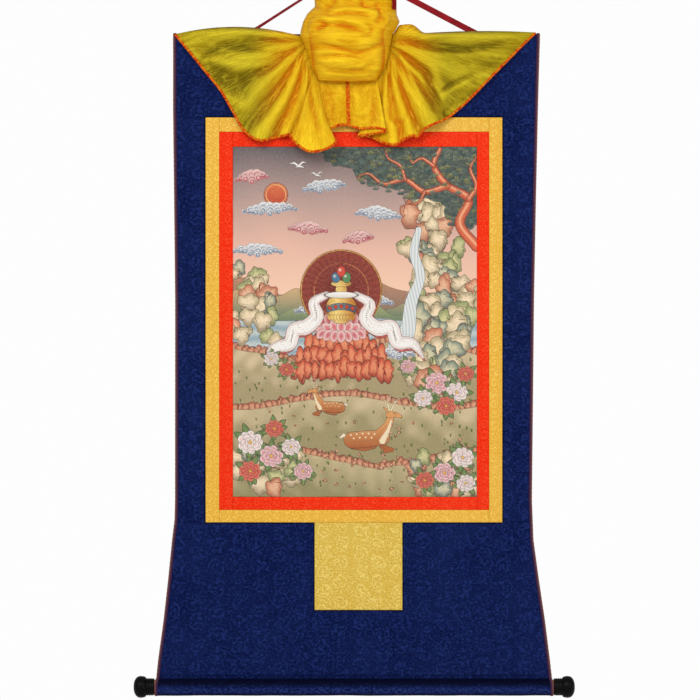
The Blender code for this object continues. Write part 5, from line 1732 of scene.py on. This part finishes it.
def lotus(art):
    # a back row of petals, a row before it, and a row that hangs over the seat
    for count, wide, long, low, tones in ((9, 34, 22, 222, ((196, 84, 96), (246, 196, 190))),
                                          (7, 28, 20, 214, ((222, 116, 122), (252, 226, 218)))):
        for step in fromOutside(count):
            turn = pi / 2 - step * 1.15
            u = vaseU + step * wide * 0.55
            spot = patch(art, u + np.cos(turn) * long / 2, low + np.sin(turn) * long / 2, long)
            leaf = leafShape(spot, u, low, long, 6.4, turn)
            lay(spot, leaf, shade(tones[1], tones[0], leaf / 5), 0.9)
    for step in fromOutside(7):
        spot = patch(art, vaseU + step * 22, 212, 20)
        leaf = leafShape(spot, vaseU + step * 19, 220, 17, 5.6, -pi / 2 + step * 0.9)
        lay(spot, leaf, shade((250, 214, 206), (206, 96, 108), leaf / 5), 0.9)


def vase(art):
    # foot and round body, neck, mouth, a blue band with red studs, leaves below it, and jewels above
    spot = patch(art, vaseU, 262, 40, 60)
    glow = np.clip(1 - np.abs(spot["u"] - vaseU + 6) / 20, 0, 1)
    gilt = shade(*palette["gilt"], glow)
    globe = disc(spot, vaseU, 250, 20, 17)
    body = np.maximum(globe, disc(spot, vaseU, 234, 12, 6))
    for part in (body, disc(spot, vaseU, 272, 7.5, 9), disc(spot, vaseU, 281, 14, 4.2)):
        lay(spot, part, gilt, 0.95)
    band = 4.6 - np.abs(spot["v"] - 251 + 0.012 * (spot["u"] - vaseU) ** 2)
    lay(spot, np.minimum(band, globe), shade((38, 84, 104), (84, 140, 150), glow), 0.9)
    for step in range(-2, 3):
        lay(spot, disc(spot, vaseU + step * 7.4, 251 - 0.6 * step**2, 2.5), shade((206, 58, 46)), 0.8)
    for step in range(-4, 5):
        lay(spot, leafShape(spot, vaseU + step * 3.6, 232, 9.5, 1.9, pi / 2 - step * 0.10), gilt, 0.7)
    for u, v, tone in ((-7, 289, (64, 120, 150)), (7, 289, (84, 140, 92)), (0, 297, (214, 72, 56))):
        glint = disc(spot, vaseU + u - 1.6, v + 2, 2.2) / 2.2 + 0.1
        lay(spot, disc(spot, vaseU + u, v, 5.6, 7), shade(tone, (250, 240, 226), glint), 0.95)


def scarf(art):
    # a white scarf round the vase, with a red lining where it turns, fold lines, and a knot
    ends = [[(-20, 266, 5), (-36, 256, 7), (-32, 238, 9), (-46, 224, 10), (-62, 220, 9), (-68, 202, 9),
             (-88, 196, 7), (-100, 178, 2)],
            [(20, 266, 5), (38, 254, 7), (32, 236, 9), (48, 222, 10), (66, 224, 9), (74, 204, 9),
             (94, 202, 7), (108, 184, 2)]]
    for side, points in zip((-1, 1), ends):
        rows = smoothRows([(vaseU + u, v, half) for u, v, half in points], 6)
        spot = patch(art, vaseU + side * 62, 226, 64, 58)
        draw(spot, rows + [side * 1.6, -3.4, -0.8], (206, 66, 50), 0.9)
        band = stroke(spot, rows)
        lay(spot, band, shade((226, 196, 190), (252, 248, 242), band / 5.5 + 0.2), 0.95)
        for shift in (-4.6, -1.7, 1.4, 4.2):
            draw(spot, rows * [1, 1, 0] + [0, shift, 0.3], (178, 166, 158))
    knot = patch(art, vaseU, 266, 30, 14)
    light = shade((222, 214, 204), (252, 250, 244), (knot["v"] - 262) / 7)
    lay(knot, disc(knot, vaseU, 266, 22, 4.2), light, 0.95)


def flowers(art, random):
    # rocks low on the left and right, then peonies there, beside the seat and on the cliff's foot
    for side in (-1, 1):
        for _ in range(26):
            boulder(art, side * 118 + random.uniform(-44, 42), random.uniform(6, 60), (8, 15), (8, 15),
                    random)
    for u, v, size, kind in ((108, 150, 14, "pink"), (134, 138, 13, "pale"), (120, 120, 12, "red"),
                             (90, 130, 11, "pale"), (146, 162, 10, "red"), (-138, 72, 15, "pale"),
                             (-110, 54, 14, "pink"), (-138, 34, 13, "red"), (-84, 66, 11, "pale"),
                             (-106, 90, 11, "red"), (-68, 34, 11, "pink"), (70, 172, 9, "pink"),
                             (-90, 168, 9, "red"), (-110, 182, 9, "pale"), (118, 32, 13, "pink"),
                             (142, 52, 13, "pale"), (92, 22, 11, "red"), (146, 18, 11, "pale")):
        peony(art, u, v, size, random, palette[kind])


def paintPicture(art):
    # the layers from the back to the front, on one run of random numbers
    random = np.random.default_rng(7)
    sky(art)
    for layer in (farHills, lake, meadow, tuftsAndPebbles, cliff, waterfall, crown, sunAndClouds):
        layer(art, random)
    birds(art)
    discAndSeat(art, random)
    for layer in (lotus, vase, scarf):
        layer(art)
    flowers(art, random)
    deer(art, 18, 66, 1.3, 1)
    deer(art, -34, 112, 0.85, -1)


def deer(art, u, v, size, side):
    # a resting deer: folded legs, body, neck, head, ears and antlers, spotted along its back
    spot = patch(art, u, v + 14 * size, 46 * size, 44 * size)
    coat = shade((176, 98, 52), (228, 160, 98), (spot["v"] - v) / (26 * size))

    def line(points):
        return stroke(spot, [(u + side * a * size, v + b * size, w * size) for a, b, w in points])

    for part in ([(-16, 0, 2.6), (-4, -2, 2.3), (6, 0, 1.8)], [(14, 0, 2.6), (24, -3, 1.9), (16, -5, 1.6)]):
        lay(spot, line(part), coat, 0.9)
    lay(spot, np.maximum(line([(-17, 7, 8.2), (-2, 8, 8.4), (14, 9, 7.4)]),
                         line([(12, 12, 6.4), (20, 22, 4.4), (23, 32, 3.4)])), coat, 0.95)
    lay(spot, line([(14, 6, 3.2), (20, 17, 1.8), (23, 27, 0.8)]), shade((246, 224, 186)), 0.3)
    lay(spot, line([(21, 33, 3.6), (27, 33, 2.6), (32, 31, 1.7)]), coat, 0.95)
    lay(spot, line([(20, 36, 1.4), (15, 40, 0.5)]), coat, 0.8)
    lay(spot, line([(-25, 12, 1.8), (-29, 9, 0.8)]), shade((246, 230, 200)), 0.8)
    for antler in ([(21, 37, 0.9), (19, 45, 0.8), (23, 53, 0.4)],
                   [(23, 37, 0.9), (26, 44, 0.8), (32, 50, 0.4)],
                   [(19, 45, 0.6), (14, 49, 0.3)], [(26, 44, 0.6), (26, 51, 0.3)]):
        lay(spot, line(antler), shade((240, 222, 180)), 0.5)
    for a, b in ((-18, 12), (-12, 13), (-6, 13.4), (0, 13.4), (6, 13), (-15, 8.6), (-9, 9.4), (-3, 9.6),
                 (3, 9.4)):
        lay(spot, disc(spot, u + side * a * size, v + b * size, 1.0 * size), shade((248, 226, 186)), 0.0)
    lay(spot, disc(spot, u + side * 26 * size, v + 34 * size, 0.8 * size), shade((40, 24, 20)), 0.0)


def agreeSigns(edge):
    # a flat place has one colour on both sides, so it takes the sign of the rims beside it
    near = np.zeros(edge.shape)
    rim = np.where(np.abs(edge) < canvas["reach"] * 0.999, np.sign(edge), 0)
    for rows in (-1, 0, 1):
        for columns in (-1, 0, 1):
            near += np.roll(rim, (rows, columns), axis=(0, 1))
    return np.where((edge >= canvas["reach"] * 0.999) & (near < 0), -canvas["reach"], edge)


def pictureFinish():
    # colours on both sides of each painted edge, and the distance to it, drawn sharp between grid points;
    # a dark line runs along the edge, and the canvas threads show through
    made, tree, shader = startFinish("pictureCloth", Roughness=0.78, Specular_IOR_Level=0.12)
    cloth = clothPattern(tree)
    inner = node(tree, "ShaderNodeAttribute", attribute_name="inner").outputs
    outer = node(tree, "ShaderNodeAttribute", attribute_name="outer").outputs
    edge = node(tree, "ShaderNodeAttribute", attribute_name="edge").outputs["Fac"]
    tone = blendColour(tree, ramp(tree, edge, -0.12, 0.12), outer["Color"], inner["Color"])
    line = ramp(tree, calc(tree, "ABSOLUTE", edge), canvas["line"], canvas["line"] * 0.45)
    line = calc(tree, "MULTIPLY", line, inner["Alpha"])
    tone = blendColour(tree, calc(tree, "MULTIPLY", line, 0.8), tone, paint(58, 42, 38))
    weave = calc(tree, "MULTIPLY", *(waves(tree, cloth, 0.42, 1.2, way) for way in ("X", "Y")))
    tone = blendColour(tree, ramp(tree, weave, 0.0, 0.35, 0.13, 0.0), tone, paint(92, 84, 74))
    dust = ramp(tree, noise(tree, cloth, 3.0, 4.0, 0.7), 0.35, 0.75, 0.0, 0.10)
    tone = blendColour(tree, dust, tone, paint(236, 206, 180))
    dress(tree, shader, tone, weave, 0.06)
    return made


def pictureFaces(rows, columns):
    # a fine grid for the face, a coarse one behind it that shares its rim, and the edge between them; also
    # which places of the grid have a point behind them
    index = np.arange(rows * columns).reshape(rows, columns)
    coarse = [sorted({*range(0, count, canvas["backStep"]), count - 1}) for count in (rows, columns)]
    needed = np.zeros((rows, columns), bool)
    needed[[0, -1]] = needed[:, [0, -1]] = True
    needed[np.ix_(*coarse)] = True
    behind = np.full(rows * columns, -1)
    behind[index[needed]] = rows * columns + np.arange(needed.sum())
    back = behind.reshape(rows, columns)
    faces = gridFaces(rows, columns)
    for top, low in zip(coarse[0][:-1], coarse[0][1:]):
        for left, right in zip(coarse[1][:-1], coarse[1][1:]):
            upper = range(left, right + 1) if top == 0 else (left, right)
            lower = range(left, right + 1) if low == rows - 1 else (left, right)
            inLeft = range(top + 1, low) if left == 0 else ()
            inRight = range(top + 1, low) if right == columns - 1 else ()
            loop = [back[top, c] for c in upper] + [back[r, right] for r in inRight]
            loop += [back[low, c] for c in reversed(lower)] + [back[r, left] for r in reversed(inLeft)]
            faces.append([int(i) for i in loop])
    ring = np.concatenate([index[0], index[1:, -1], index[-1, -2::-1], index[-2:0:-1, 0]])
    following = np.roll(ring, -1)
    faces += np.stack([ring, following, behind[following], behind[ring]], axis=1).tolist()
    return faces, needed


def pictureSheet():
    # the painted cloth: the slow wave, a faint unevenness and a round turn back at the edges
    art = startArt()
    paintPicture(art)
    art["edge"] = agreeSigns(art["edge"])
    x, z = art["u"] + middle, art["v"] + foot
    rim = np.minimum(np.minimum(x - x[0, 2], x[0, -3] - x), np.minimum(z[2, 0] - z, z - z[-3, 0]))
    forward = rounded(rim, canvas["front"], canvas["rim"]) + wave(x, z) + 0.08 * softNoise(50, 40, 6, x, z)
    faces, needed = pictureFaces(*x.shape)
    face, uv = toFrame(x, forward, z), pattern(x, z)
    points = np.concatenate([face.reshape(-1, 3), face[needed] + [0, canvas["thick"] * mm, 0]])
    uv = np.concatenate([uv.reshape(-1, 2), uv[needed]])
    piece = meshPiece("pictureCloth", points, faces, uv, pictureFinish())
    piece.data.set_sharp_from_angle(angle=radians(60))
    plain = shade(canvas["backing"])
    plain[3] = 0
    backCount = int(needed.sum())
    for name in ("inner", "outer"):
        tintPoints(piece, name, np.concatenate([art[name].reshape(-1, 4), np.tile(plain, (backCount, 1))]))
    tintPoints(piece, "edge", np.concatenate([art["edge"].ravel(), np.full(backCount, canvas["reach"])]))
    settle(piece, ["painting"])


pictureSheet()
print("picture made")

studio = {
    "eye": (-1.35, 4500.0, -516.3),  # across, forward, height
    "shownWidth": 921.9,
    "floor": -1080.0, "floorPlan": (1600.0, -700.0, 1800.0),  # half width, back and front
    # across, forward, height, size, watts
    "key": (-900, 2600, 1100, 1500, 46.0),
    "fill": (1700, 2400, -100, 1600, 20.0),
    "world": 0.42, "backdrop": 0.985,  # strength of the pale surround, and what the camera sees of it
}


def softLight(name, across, forward, height, size, watts, target=(0, 0, -480)):
    # a square lamp, size millimetres wide, that looks at the scroll's middle
    lamp = bpy.data.lights.new(name, "AREA")
    lamp.size = size * mm
    lamp.energy = watts
    made = bpy.data.objects.new(name, lamp)
    bpy.context.scene.collection.objects.link(made)
    spot, aim = (toFrame(*place) for place in ((across, forward, height), target))
    made.location = spot
    made.rotation_euler = Vector(aim - spot).to_track_quat("-Z", "Y").to_euler()


def floorStage():
    # a plain pale floor under the hanging scroll
    half, back, front = studio["floorPlan"]
    corners = toFrame(np.array([-half, -half, half, half]), np.array([back, front, front, back]),
                      studio["floor"])
    made, tree, shader = startFinish("paleFloor", Roughness=0.8)
    tone = blendColour(tree, noise(tree, objectPlace(tree), 300, 3.0), paint(232, 231, 229),
                       paint(238, 237, 235))
    tree.links.new(tone, shader.inputs["Base Color"])
    meshPiece("floor", corners, [(0, 1, 2, 3)], None, made)


def studioWorld():
    # an even white surround, stronger to the camera than to the scroll
    world = bpy.data.worlds.new("studio")
    world.use_nodes = True
    tree = world.node_tree
    background = tree.nodes["Background"]
    seen = node(tree, "ShaderNodeLightPath").outputs["Is Camera Ray"]
    strength = calc(tree, "MULTIPLY_ADD", seen, studio["backdrop"] - studio["world"], studio["world"])
    tree.links.new(strength, background.inputs["Strength"])
    background.inputs["Color"].default_value = (1, 1, 1, 1)
    bpy.context.scene.world = world


floorStage()
studioWorld()
softLight("key", *studio["key"])
softLight("fill", *studio["fill"])
camera = bpy.data.objects.new("camera", bpy.data.cameras.new("camera"))
bpy.context.scene.collection.objects.link(camera)
camera.location = toFrame(*studio["eye"])
camera.rotation_euler = (pi / 2, 0, 0)
camera.data.sensor_width = 36
camera.data.lens = 36 * studio["eye"][1] / studio["shownWidth"]
camera.data.clip_start, camera.data.clip_end = 0.1, 30
bpy.context.scene.camera = camera
bpy.context.scene.view_settings.view_transform = "Standard"
print("stage, lights and camera made")
